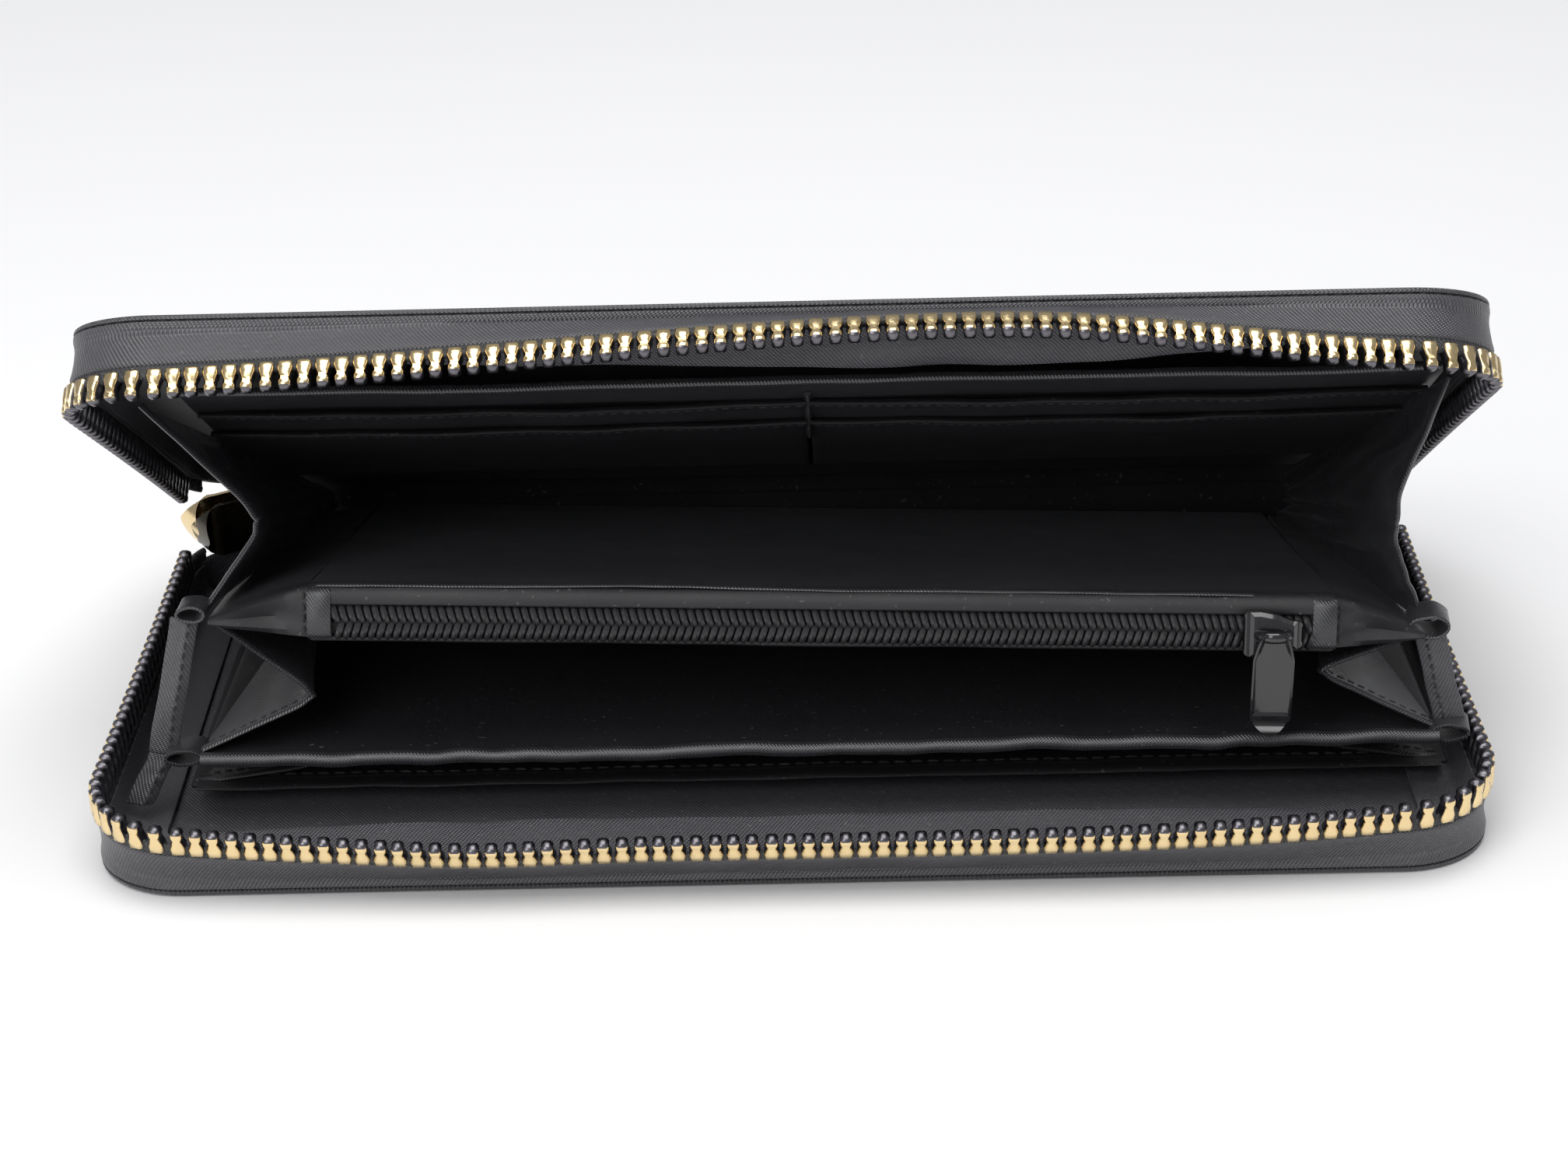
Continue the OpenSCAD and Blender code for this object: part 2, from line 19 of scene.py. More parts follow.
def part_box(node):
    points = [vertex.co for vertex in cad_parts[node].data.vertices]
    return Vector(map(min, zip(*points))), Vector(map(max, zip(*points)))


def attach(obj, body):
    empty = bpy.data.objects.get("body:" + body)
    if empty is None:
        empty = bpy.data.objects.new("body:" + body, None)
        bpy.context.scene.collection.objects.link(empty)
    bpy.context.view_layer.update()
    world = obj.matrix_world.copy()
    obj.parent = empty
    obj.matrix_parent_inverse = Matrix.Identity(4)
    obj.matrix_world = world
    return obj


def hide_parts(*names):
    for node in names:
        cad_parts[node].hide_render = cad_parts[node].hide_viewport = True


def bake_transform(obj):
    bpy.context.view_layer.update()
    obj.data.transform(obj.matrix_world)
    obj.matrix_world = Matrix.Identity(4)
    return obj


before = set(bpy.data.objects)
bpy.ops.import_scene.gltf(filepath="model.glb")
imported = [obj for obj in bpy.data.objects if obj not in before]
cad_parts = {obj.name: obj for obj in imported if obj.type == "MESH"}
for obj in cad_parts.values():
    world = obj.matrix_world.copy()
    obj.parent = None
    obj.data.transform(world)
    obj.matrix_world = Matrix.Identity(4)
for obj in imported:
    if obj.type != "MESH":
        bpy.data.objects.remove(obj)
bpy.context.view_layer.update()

MM = 0.001
LOG = logging.getLogger("wallet")
TOUCH = 1e-5
UP = Vector((0, 0, 1))
DOWN = Vector((0, 0, -1))
Colour = tuple[float, float, float]
Shape = Callable[[float, float], Vector]
Test = Callable[[object], bool]
Socket = bpy.types.NodeSocket
Tree = bpy.types.NodeTree
Piece = bpy.types.Object


# ---------------------------------------------------------------- finishes


class Graph:
    """Adds shader nodes to a tree in short steps."""

    def __init__(self, tree: Tree) -> None:
        """Keeps the tree that the nodes go in."""
        self.tree = tree

    def node(self, kind: str, **settings: object) -> bpy.types.Node:
        """Adds a node.

        Args:
            kind: Blender's name of the node type.
            **settings: properties of the node, by name.

        Returns:
            The new node.
        """
        made = self.tree.nodes.new(kind)
        for name, value in settings.items():
            setattr(made, name, value)
        return made

    def feed(self, socket: Socket, value: object) -> None:
        """Links a socket to an input, or sets the input's own value."""
        if isinstance(value, Socket):
            self.tree.links.new(value, socket)
        else:
            socket.default_value = value

    def math(
        self, operation: str, first: object, second: object = 0.0, clamp: bool = False
    ) -> Socket:
        """Adds a Math node and returns its output."""
        made = self.node("ShaderNodeMath", operation=operation, use_clamp=clamp)
        self.feed(made.inputs[0], first)
        self.feed(made.inputs[1], second)
        return made.outputs[0]

    def blend(self, share: object, low: object, high: object) -> Socket:
        """Adds a colour mix and returns its output."""
        made = self.node("ShaderNodeMix", data_type="RGBA")
        self.feed(made.inputs["Factor"], share)
        self.feed(made.inputs["A"], low)
        self.feed(made.inputs["B"], high)
        return made.outputs["Result"]

    def span(self, value: object, low: float, high: float, to_low: float, to_high: float) -> Socket:
        """Maps a value from one range to another and returns the output."""
        made = self.node("ShaderNodeMapRange")
        for index, entry in enumerate((value, low, high, to_low, to_high)):
            self.feed(made.inputs[index], entry)
        return made.outputs[0]

    def grain(self, vector: object, scale: float, detail: float = 2.0) -> Socket:
        """Adds a noise texture and returns its value."""
        made = self.node("ShaderNodeTexNoise")
        self.feed(made.inputs["Vector"], vector)
        made.inputs["Scale"].default_value = scale
        made.inputs["Detail"].default_value = detail
        return made.outputs["Fac"]


def new_group(name: str, inputs: Sequence[tuple[str, str]], outputs: Sequence[str]) -> Tree:
    """Makes an empty shader node group.

    Args:
        name: the group's name.
        inputs: name and socket type of each input.
        outputs: names of the outputs, each a number.

    Returns:
        The group's node tree.
    """
    tree = bpy.data.node_groups.new(name, "ShaderNodeTree")
    for label, kind in inputs:
        tree.interface.new_socket(label, in_out="INPUT", socket_type=kind)
    for label in outputs:
        tree.interface.new_socket(label, in_out="OUTPUT", socket_type="NodeSocketFloat")
    return tree


@lru_cache(maxsize=None)
def weave_group() -> Tree:
    """The twill weave: diagonal ribs with finer threads across them.

    Returns:
        A group that gives the cloth's Height and a per-thread Tone from a UV vector in metres.
    """
    tree = new_group(
        "Twill weave", (("Vector", "NodeSocketVector"), ("Ribs per metre", "NodeSocketFloat")),
        ("Height", "Tone")
    )
    graph = Graph(tree)
    source, sink = graph.node("NodeGroupInput"), graph.node("NodeGroupOutput")
    parts = graph.node("ShaderNodeSeparateXYZ")
    graph.feed(parts.inputs[0], source.outputs["Vector"])
    turns = graph.math("MULTIPLY", source.outputs["Ribs per metre"], 2 * math.pi)
    along = graph.math("MULTIPLY", parts.outputs[0], turns)
    across = graph.math("MULTIPLY", parts.outputs[1], turns)
    ribs = graph.math("SINE", graph.math("ADD", along, graph.math("MULTIPLY", across, 0.7)))
    threads = graph.math("SINE", graph.math("SUBTRACT", along, graph.math("MULTIPLY", across, 1.6)))
    height = graph.math(
        "ADD", graph.math("MULTIPLY", ribs, 0.33), graph.math("MULTIPLY", threads, 0.17)
    )
    graph.feed(sink.inputs["Height"], graph.math("ADD", height, 0.5))
    stretched = graph.node("ShaderNodeMapping")
    stretched.inputs["Scale"].default_value = (0.25, 1.0, 1.0)
    graph.feed(stretched.inputs[0], source.outputs["Vector"])
    graph.feed(sink.inputs["Tone"], graph.grain(stretched.outputs[0], 2400.0, 1.0))
    return tree


@lru_cache(maxsize=None)
def handling_group() -> Tree:
    """What handling leaves on cloth: soft patches, and specks of lint.

    Returns:
        A group that gives Patches and Lint from object coordinates in metres.
    """
    tree = new_group(
        "Handling", (("Vector", "NodeSocketVector"), ("Lint amount", "NodeSocketFloat")),
        ("Patches", "Lint")
    )
    graph = Graph(tree)
    source, sink = graph.node("NodeGroupInput"), graph.node("NodeGroupOutput")
    graph.feed(sink.inputs["Patches"], graph.grain(source.outputs["Vector"], 55.0, 3.0))
    specks = graph.math("SUBTRACT", graph.grain(source.outputs["Vector"], 1500.0, 0.0), 0.76)
    sharp = graph.math("MULTIPLY", specks, 14.0, clamp=True)
    graph.feed(sink.inputs["Lint"], graph.math("MULTIPLY", sharp, source.outputs["Lint amount"]))
    return tree


def place_group(graph: Graph, tree: Tree, **inputs: object) -> bpy.types.Node:
    """Places a node group in a material.

    Args:
        graph: the material's graph.
        tree: the group.
        **inputs: values or links by input name, with _ for a space.

    Returns:
        The group node.
    """
    made = graph.node("ShaderNodeGroup", node_tree=tree)
    for name, value in inputs.items():
        graph.feed(made.inputs[name.replace("_", " ")], value)
    return made


def new_material(name: str) -> tuple[bpy.types.Material, Graph, bpy.types.Node]:
    """Makes a material and returns it with its graph and its Principled shader."""
    material = bpy.data.materials.new(name)
    material.use_nodes = True
    graph = Graph(material.node_tree)
    return material, graph, material.node_tree.nodes["Principled BSDF"]


@dataclass(frozen=True)
class Cloth:
    """A woven cloth finish. Its weave follows the piece's UV map, which is in metres."""

    name: str
    dark: Colour
    light: Colour
    ribs: float
    roughness: tuple[float, float]
    sheen: float
    relief: float
    lint: float = 0.3
    shine: float = 0.8

    def make(self) -> bpy.types.Material:
        """Builds the material.

        Returns:
            The new material.
        """
        material, graph, shader = new_material(self.name)
        flat = graph.node("ShaderNodeUVMap", uv_map="Cloth").outputs[0]
        solid = graph.node("ShaderNodeTexCoord").outputs["Object"]
        weave = place_group(graph, weave_group(), Vector=flat, Ribs_per_metre=self.ribs)
        handled = place_group(graph, handling_group(), Vector=solid, Lint_amount=self.lint)
        rise = graph.math("MULTIPLY", weave.outputs["Height"], 0.62)
        share = graph.math(
            "ADD", rise, graph.math("MULTIPLY", weave.outputs["Tone"], 0.38), clamp=True
        )
        colour = graph.blend(share, (*self.dark, 1), (*self.light, 1))
        dusty = graph.blend(handled.outputs["Lint"], colour, (0.22, 0.22, 0.22, 1))
        graph.feed(shader.inputs["Base Color"], dusty)
        graph.feed(
            shader.inputs["Roughness"],
            graph.span(handled.outputs["Patches"], 0.35, 0.65, *self.roughness)
        )
        bump = graph.node("ShaderNodeBump")
        bump.inputs["Strength"].default_value = self.relief
        bump.inputs["Distance"].default_value = 0.00012
        slow = graph.math("MULTIPLY", handled.outputs["Patches"], 0.9)
        graph.feed(bump.inputs["Height"], graph.math("ADD", weave.outputs["Height"], slow))
        graph.feed(shader.inputs["Normal"], bump.outputs[0])
        shader.inputs["Specular IOR Level"].default_value = self.shine
        shader.inputs["Sheen Weight"].default_value = self.sheen
        shader.inputs["Sheen Roughness"].default_value = 0.35
        shader.inputs["Sheen Tint"].default_value = (0.86, 0.87, 0.95, 1)
        return material


@dataclass(frozen=True)
class Hard:
    """A metal or plastic finish with fine marks and a slight change of tone."""

    name: str
    colour: Colour
    worn: Colour
    metallic: float
    roughness: tuple[float, float]
    coat: float = 0.0

    def make(self) -> bpy.types.Material:
        """Builds the material.

        Returns:
            The new material.
        """
        material, graph, shader = new_material(self.name)
        solid = graph.node("ShaderNodeTexCoord").outputs["Object"]
        drawn = graph.node("ShaderNodeMapping")
        drawn.inputs["Scale"].default_value = (1.0, 1.0, 0.3)
        graph.feed(drawn.inputs[0], solid)
        tone = graph.grain(solid, 260.0, 2.0)
        marks = graph.grain(drawn.outputs[0], 2600.0, 2.0)
        graph.feed(
            shader.inputs["Base Color"], graph.blend(tone, (*self.colour, 1), (*self.worn, 1))
        )
        graph.feed(shader.inputs["Roughness"], graph.span(marks, 0.3, 0.7, *self.roughness))
        bump = graph.node("ShaderNodeBump")
        bump.inputs["Strength"].default_value = 0.12
        bump.inputs["Distance"].default_value = 0.00005
        graph.feed(bump.inputs["Height"], marks)
        graph.feed(shader.inputs["Normal"], bump.outputs[0])
        shader.inputs["Metallic"].default_value = self.metallic
        shader.inputs["Coat Weight"].default_value = self.coat
        return material


class Finish(Enum):
    """The finishes of the wallet. Each names a material slot and how it is made."""

    OUTER = (
        "outer_fabric",
        Cloth(
            "Outer twill", (0.006, 0.006, 0.008), (0.080, 0.079, 0.088), 1650, (0.32, 0.44), 0.08,
            1.0, 0.25
        )
    )
    BAND = (
        "outer_fabric",
        Cloth(
            "Band satin", (0.007, 0.007, 0.009), (0.104, 0.102, 0.115), 1750, (0.30, 0.42), 0.08,
            1.0, 0.25
        )
    )
    # A lighter copy of the lining satin: painted light on the cover lining's strip that faces up by
    # the teeth, and painted sheen on the ribbons.
    LIT_LINING = (
        "lining_fabric",
        Cloth(
            "Lining satin, painted light", (0.008, 0.008, 0.010), (0.104, 0.102, 0.114), 1750, (0.30, 0.42), 0.08,
            0.9, 0.25
        )
    )
    LINING = (
        "lining_fabric",
        Cloth(
            "Lining satin", (0.006, 0.006, 0.007), (0.020, 0.020, 0.023), 3300, (0.32, 0.46), 0.05,
            0.35, 0.3, 0.5
        )
    )
    SLEEK = (
        "lining_fabric",
        Cloth(
            "Gusset satin", (0.006, 0.006, 0.008), (0.042, 0.042, 0.046), 2100, (0.22, 0.34), 0.05,
            0.45, 0.2
        )
    )
    INSIDE = (
        "outer_fabric",
        Cloth(
            "Spine lining", (0.004, 0.004, 0.005), (0.014, 0.014, 0.016), 3300, (0.50, 0.65), 0.0,
            0.35, 0.2, 0.15
        )
    )
    TAPE = (
        "zip_tape",
        Cloth(
            "Woven tape", (0.006, 0.006, 0.007), (0.030, 0.030, 0.033), 1400, (0.55, 0.75), 0.08,
            0.9, 0.4
        )
    )
    THREAD = (
        "outer_fabric",
        Cloth(
            "Sewing thread", (0.010, 0.010, 0.011), (0.040, 0.040, 0.044), 3000, (0.40, 0.55), 0.10,
            0.4, 0.0
        )
    )
    GOLD = (
        "gold_metal", Hard("Pale gold", (0.92, 0.74, 0.42), (0.80, 0.60, 0.32), 1.0, (0.14, 0.30))
    )
    # A darker copy of the gold tooth metal for the teeth's sides, inner faces and head tips:
    # painted shade.
    TOOTH_SHADE = (
        "gold_metal",
        Hard("Tooth metal in painted shade", (0.20, 0.19, 0.21), (0.12, 0.115, 0.125), 1.0, (0.25, 0.42))
    )
    # A darker copy of the slider's gold for its inner plate, seen from inside the wallet: painted
    # shade.
    SLIDER_SHADE = (
        "gold_metal",
        Hard("Slider gold in painted shade", (0.075, 0.062, 0.040), (0.050, 0.044, 0.032), 1.0, (0.22, 0.40))
    )
    NYLON = (
        "nylon_coil",
        Hard("Black nylon", (0.020, 0.020, 0.022), (0.034, 0.034, 0.036), 0.0, (0.26, 0.40))
    )
    ENAMEL = (
        "black_metal",
        Hard("Black enamel", (0.010, 0.010, 0.011), (0.018, 0.018, 0.020), 0.0, (0.10, 0.20), 0.6)
    )
    BOARD = (
        "stiffener", Hard("Grey board", (0.40, 0.38, 0.35), (0.30, 0.29, 0.27), 0.0, (0.80, 0.95))
    )

    @property
    def slot(self) -> str:
        """The name of the finish's material slot."""
        return self.value[0]

    @property
    def material(self) -> bpy.types.Material:
        """The finish's material, built on first use."""
        return bpy.data.materials.get(self.value[1].name) or self.value[1].make()


# ---------------------------------------------------------------- the wallet's lines


@dataclass(frozen=True)
class Fold:
    """The five leaves: their hinge lines at the spine and their angles as the wallet stands."""

    hinge_y: float = 49.2
    heights: tuple[float, ...] = (0.0, 5.0, 11.0, 17.0, 22.6)
    angles: tuple[float, ...] = (0.0, 5.4, 13.7, 32.2, 32.3)
    coin_tilt: float = 1.85

    def hinge(self, leaf: int) -> tuple[float, float]:
        """The y and z of a leaf's hinge line."""
        if leaf <= 1:
            return self.hinge_y, self.heights[leaf]
        y, z = self.hinge(leaf - 1)
        rise = self.heights[leaf] - self.heights[leaf - 1]
        turn = math.radians(self.angles[leaf - 1])
        return y + rise * math.sin(turn), z + rise * math.cos(turn)

    def point(self, leaf: int, x: float, depth: float, z: float) -> Vector:
        """A point by its depth from the hinge and its height over the leaf's middle.

        Args:
            leaf: the leaf's number, 0 for the lower cover to 4 for the upper.
            x: place along the wallet.
            depth: distance from the hinge towards the mouth.
            z: height out of the leaf's upper face.

        Returns:
            The point in the wallet's frame.
        """
        y0, z0 = self.hinge(leaf)
        turn = math.radians(self.angles[leaf])
        return Vector(
            (
                x, y0 - depth * math.cos(turn) + z * math.sin(turn),
                z0 + depth * math.sin(turn) + z * math.cos(turn)
            )
        )

    def coin(self, x: float, depth: float, z: float) -> Vector:
        """A point of the coin pocket, whose leaf tilts down to the right."""
        turn = math.radians(self.coin_tilt)
        return self.point(
            2, x * math.cos(turn) + z * math.sin(turn), depth,
            z * math.cos(turn) - x * math.sin(turn)
        )

    def share(self, lower: int, place: Vector) -> float:
        """How far a point lies from one leaf (0) to the next above it (1)."""
        gaps = []
        for leaf in (lower, lower + 1):
            y0, z0 = self.hinge(leaf)
            turn = math.radians(self.angles[leaf])
            gaps.append((place.y - y0) * math.sin(turn) + (place.z - z0) * math.cos(turn))
        return clamp(gaps[0] / max(gaps[0] - gaps[1], 1e-6))


FOLD = Fold()
COVER_T = 2.2
UPPER_CLEAR = 0.1
BODIES = ("lower_cover", "divider_leaf", "coin_leaf", "card_leaf", "upper_cover")


class Half(Enum):
    """The half of the main zip, by the cover that it is sewn to."""

    LOWER = 1
    UPPER = -1

    @property
    def word(self) -> str:
        """The half's name for its pieces."""
        return self.name.lower()

    @property
    def body(self) -> str:
        """The CAD body that the half rides on."""
        return f"{self.word}_cover"


@dataclass(frozen=True)
class Chain:
    """The line that each half of the main zip follows round a cover's edge."""

    half_length: float = 96.0
    depth: float = 100.0
    inset: float = 1.4
    back_gap: float = 0.8
    mouth_radius: float = 13.0
    spine_radius: float = 12.0
    start: float = 16.0
    pitch: float = 2.5
    lower_bow: tuple[float, float] = (8.0, 38.0)
    lower_bulge: tuple[float, float, float] = (5.0, -43.0, 14.0)
    upper_bow: tuple[float, float, float, float] = (76.0, 27.0, 100.0, 54.0)

    @property
    def lines(self) -> tuple[float, float, float, float, float]:
        """Half width, rear limit, rear radius, front radius and side run of the line."""
        rear = self.depth - self.inset - self.back_gap
        rear_r, front_r = self.spine_radius - self.inset, self.mouth_radius - self.inset
        side = rear - self.inset + self.back_gap - rear_r - front_r
        return self.half_length - self.inset, rear, rear_r, front_r, side

    @property
    def length(self) -> float:
        """Length of the whole line."""
        x, _, rear_r, front_r, side = self.lines
        return 2 * ((rear_r + front_r) * math.pi / 2 + side) + 2 * (x - front_r)

    def left(self, dist: float) -> tuple[float, float, float, float]:
        """A point of the left half as x, depth and the outward direction in x and depth."""
        x, rear, rear_r, front_r, side = self.lines
        arc, front_arc = rear_r * math.pi / 2, front_r * math.pi / 2
        if dist < arc:
            turn = math.pi / 2 - dist / rear_r
            near = self.inset - self.back_gap
            return (
                -x + rear_r - rear_r * math.cos(turn), near + rear_r - rear_r * math.sin(turn),
                -math.cos(turn), -math.sin(turn)
            )
        if dist < arc + side:
            return -x, self.inset - self.back_gap + rear_r + dist - arc, -1.0, 0.0
        if dist < arc + side + front_arc:
            turn = (dist - arc - side) / front_r
            return (
                -x + front_r - front_r * math.cos(turn), rear - front_r + front_r * math.sin(turn),
                -math.cos(turn), math.sin(turn)
            )
        return -x + front_r + dist - arc - side - front_arc, rear, 0.0, 1.0

    def at(self, dist: float) -> tuple[float, float, float, float]:
        """A point of the line, as left() gives it, from the spine's left end to its right end."""
        if dist <= self.length / 2:
            return self.left(dist)
        x, depth, out_x, out_depth = self.left(self.length - dist)
        return -x, depth, -out_x, out_depth

    def lean(self, half: Half, x: float, depth: float) -> float:
        """How far the unzipped band leans out from square, in radians.

        It does not lean at the spine. At the mouth the lower band leans most in its middle and
        bulges once to the left, and the upper band leans most a little right of the middle.
        """
        share = clamp(depth / self.lines[1]) ** 2
        if half is Half.LOWER:
            least, more = self.lower_bow
            bulge, centre, width = self.lower_bulge
            bow = least + more * (1 - (abs(x) / self.half_length) ** 4)
            bow += bulge * bump_at(x, centre, width)
        else:
            most, centre, left, right = self.upper_bow
            bow = most * bump_at(x, centre, left if x < centre else right)
        return math.radians(share * bow)

    def point(self, half: Half, dist: float, height: float, out: float) -> Vector:
        """A point of a band, in the wallet's frame.

        Args:
            half: which cover the band is on.
            dist: distance along the chain.
            height: distance up the band from the cover's lining.
            out: distance out through the band's thickness.

        Returns:
            The point.
        """
        x, depth, out_x, out_depth = self.at(dist)
        lean = self.lean(half, x, depth) * ease((height + 0.6) / 2.0)
        push = height * math.sin(lean) + out * math.cos(lean)
        drop = half.value * (height * math.cos(lean) - out * math.sin(lean))
        leaf, base = (0, COVER_T) if half is Half.LOWER else (4, UPPER_CLEAR)
        return FOLD.point(leaf, x + out_x * push, depth + out_depth * push, base + drop)


CHAIN = Chain()


def ripple(x: float, y: float, seed: float) -> float:
    """Smooth waves from -1 to 1 that are the same at each run."""
    return noise.noise(Vector((x, y, 7.31 * seed)))


def bump_at(x: float, centre: float, width: float) -> float:
    """A smooth hump of height 1 round a centre."""
    return math.exp(-(((x - centre) / width) ** 2))


def clamp(share: float) -> float:
    """Keeps a share between 0 and 1."""
    return min(1.0, max(0.0, share))


def ease(share: float) -> float:
    """Turns 0 to 1 smoothly into 0 to 1."""
    share = clamp(share)
    return share * share * (3 - 2 * share)


CORNER_CUT = 11.0
CORNER_RUN = 7


def taper(x0: float, x1: float, u: float, v: float) -> float:
    """A leaf's x at a share of its width, drawn in at the spine, where its corners are cut."""
    corner = CORNER_CUT * (1 - min(1.0, v * CORNER_RUN))
    return x0 + corner + (x1 - x0 - 2 * corner) * u


def heading(path: Sequence[Vector], i: int) -> Vector:
    """The way past a point of a path, from the point before it to the point after it."""
    return path[min(i + 1, len(path) - 1)] - path[max(i - 1, 0)]


def between(row: Sequence[Vector], share: float) -> Vector:
    """The point at a share of a row of points, counted by their number."""
    where = share * (len(row) - 1)
    k = min(len(row) - 2, int(where))
    return row[k].lerp(row[k + 1], where - k)


def axes(along: Vector, side: Vector, up: Vector, origin: Vector) -> Matrix:
    """The matrix that turns X, Y and Z to three ways and moves to a point in millimetres."""
    place = Matrix((along, side, up)).transposed().to_4x4()
    place.translation = origin * MM
    return place


# ---------------------------------------------------------------- mesh making


def only(obj: Piece) -> Piece:
    """Makes an object the one that is selected and active."""
    if bpy.context.object and bpy.context.object.mode != "OBJECT":
        bpy.ops.object.mode_set(mode="OBJECT")
    bpy.ops.object.select_all(action="DESELECT")
    obj.select_set(True)
    bpy.context.view_layer.objects.active = obj
    return obj


def apply_all(obj: Piece) -> None:
    """Applies an object's modifiers in order."""
    only(obj)
    for modifier in list(obj.modifiers):
        bpy.ops.object.modifier_apply(modifier=modifier.name)


def soften(obj: Piece, angle: float = 40.0) -> None:
    """Shades an object smooth, but for edges sharper than an angle in degrees."""
    only(obj)
    bpy.ops.object.shade_smooth_by_angle(angle=math.radians(angle))


def added(name: str, data: bpy.types.ID) -> Piece:
    """Adds an object with its data to the scene."""
    obj = bpy.data.objects.new(name, data)
    bpy.context.scene.collection.objects.link(obj)
    return obj


def mesh_object(
    name: str, points: Sequence[Vector], faces: Sequence[Sequence[int]],
    flat: Optional[Sequence[tuple[float, float]]] = None
) -> Piece:
    """Makes an object from points in millimetres.

    Args:
        name: the piece's name.
        points: the vertices, in millimetres.
        faces: vertex numbers of each face.
        flat: for each face corner, in order, its place on the flat cloth in millimetres.

    Returns:
        The new object, in metres.
    """
    mesh = bpy.data.meshes.new(name)
    mesh.from_pydata([Vector(p) * MM for p in points], [], faces)
    if flat is not None:
        layer = mesh.uv_layers.new(name="Cloth")
        layer.data.foreach_set("uv", [c * MM for pair in flat for c in pair])
    return added(name, mesh)


def running(points: Sequence[Vector]) -> list[float]:
    """The distance along a row of points, from its first."""
    total = [0.0]
    for one, two in zip(points, points[1:]):
        total.append(total[-1] + (two - one).length)
    return total


def cloth(
    name: str, shape: Shape, across: int, along: int, thick: float, edge: float = 0.45
) -> Piece:
    """Makes a sheet of cloth with a thickness and rounded edges.

    Args:
        name: the piece's name.
        shape: gives the point in millimetres for two shares from 0 to 1.
        across: number of steps of the first share.
        along: number of steps of the second share.
        thick: the cloth's thickness in millimetres.
        edge: how much of the thickness the edges round off.

    Returns:
        The sheet. Its custom properties wide and long are the flat size in metres.
    """
    rows = [[shape(i / across, j / along) for i in range(across + 1)] for j in range(along + 1)]
    wide = running(rows[along // 2])
    long = running([row[across // 2] for row in rows])
    step = across + 1
    faces, flat = [], []
    for j in range(along):
        for i in range(across):
            faces.append(
                (j * step + i, j * step + i + 1, (j + 1) * step + i + 1, (j + 1) * step + i)
            )
            flat += [
                (wide[i], long[j]), (wide[i + 1], long[j]), (wide[i + 1], long[j + 1]),
                (wide[i], long[j + 1])
            ]
    obj = mesh_object(name, [p for row in rows for p in row], faces, flat)
    solid = obj.modifiers.new("Thickness", "SOLIDIFY")
    solid.thickness, solid.offset, solid.use_even_offset = thick * MM, 0.0, False
    round_off = obj.modifiers.new("Edges", "BEVEL")
    round_off.width, round_off.segments, round_off.limit_method = thick * edge * MM, 2, "ANGLE"
    round_off.angle_limit = math.radians(60)
    apply_all(obj)
    soften(obj, 60)
    obj["wide"], obj["long"] = wide[-1] * MM, long[-1] * MM
    return obj


def swept(name: str, rings: Sequence[Sequence[Vector]]) -> Piece:
    """Makes a closed skin over rings of points, for rolled hems, bands and cords of cloth.

    Args:
        name: the piece's name.
        rings: the rings, all with the same number of points.

    Returns:
        The skinned object, with a flat cloth map.
    """
    size = len(rings[0])
    middle = list(rings[len(rings) // 2])
    rim = running(middle + middle[:1])
    along = running([sum(ring, Vector()) / size for ring in rings])
    faces, flat = [], []
    for j in range(len(rings) - 1):
        for i in range(size):
            k = (i + 1) % size
            faces.append((j * size + i, j * size + k, (j + 1) * size + k, (j + 1) * size + i))
            flat += [
                (along[j], rim[i]), (along[j], rim[i + 1]), (along[j + 1], rim[i + 1]),
                (along[j + 1], rim[i])
            ]
    last = (len(rings) - 1) * size
    faces.append(tuple(range(size - 1, -1, -1)))
    faces.append(tuple(range(last, last + size)))
    flat += [(end, rim[i]) for end in (along[0], along[-1]) for i in range(size)]
    obj = mesh_object(name, [p for ring in rings for p in ring], faces, flat)
    outward(obj)
    soften(obj, 55)
    obj["wide"], obj["long"] = rim[-1] / 2 * MM, along[-1] * MM
    return obj


def outward(obj: Piece) -> None:
    """Turns a closed mesh's faces outwards."""
    only(obj)
    bpy.ops.object.mode_set(mode="EDIT")
    bpy.ops.mesh.select_all(action="SELECT")
    bpy.ops.mesh.normals_make_consistent(inside=False)
    bpy.ops.object.mode_set(mode="OBJECT")


ROUND = [(math.cos(2 * math.pi * k / 10), math.sin(2 * math.pi * k / 10)) for k in range(10)]


def rolled(
    name: str, path: Sequence[Vector], wide: float, tall: float,
    swell: float = 0.0, wave: float = 1.0, seed: float = 0.0,
) -> Piece:
    """Makes a rolled edge along a path.

    Args:
        name: the piece's name.
        path: the middle line.
        wide: half its width, sideways.
        tall: half its height.
        swell: how much its size goes up and down, as a share.
        wave: how many points of the path a swelling takes.
        seed: which swellings it gets.

    Returns:
        The rolled edge.
    """
    oval = [(a * wide, b * tall) for a, b in ROUND]
    rings = []
    for i, place in enumerate(path):
        ahead = heading(path, i).normalized()
        side = ahead.cross(UP).normalized()
        up = side.cross(ahead)
        size = 1.0 + swell * ripple(i / wave, 0, seed)
        rings.append([place + (side * a + up * b) * size for a, b in oval])
    return swept(name, rings)


def scatter(name: str, master: Piece, places: Sequence[Matrix]) -> Piece:
    """Copies a small modelled piece to many places, as one object.

    Args:
        name: the new object's name.
        master: the piece, in metres at the origin. It is removed.
        places: a matrix for each copy.

    Returns:
        The object that holds all the copies.
    """
    source = bmesh.new()
    source.from_mesh(master.data)
    base = [v.co.copy() for v in source.verts]
    polygons = [([v.index for v in f.verts], f.material_index) for f in source.faces]
    source.free()
    points, faces, tints = [], [], []
    for place in places:
        start = len(points)
        points += [place @ p for p in base]
        faces += [[start + i for i in ring] for ring, _ in polygons]
        tints += [tint for _, tint in polygons]
    mesh = bpy.data.meshes.new(name)
    mesh.from_pydata(points, [], faces)
    mesh.uv_layers.new(name="Cloth")
    mesh.polygons.foreach_set("material_index", tints)
    obj = added(name, mesh)
    bpy.data.objects.remove(master, do_unlink=True)
    soften(obj, 50)
    return obj


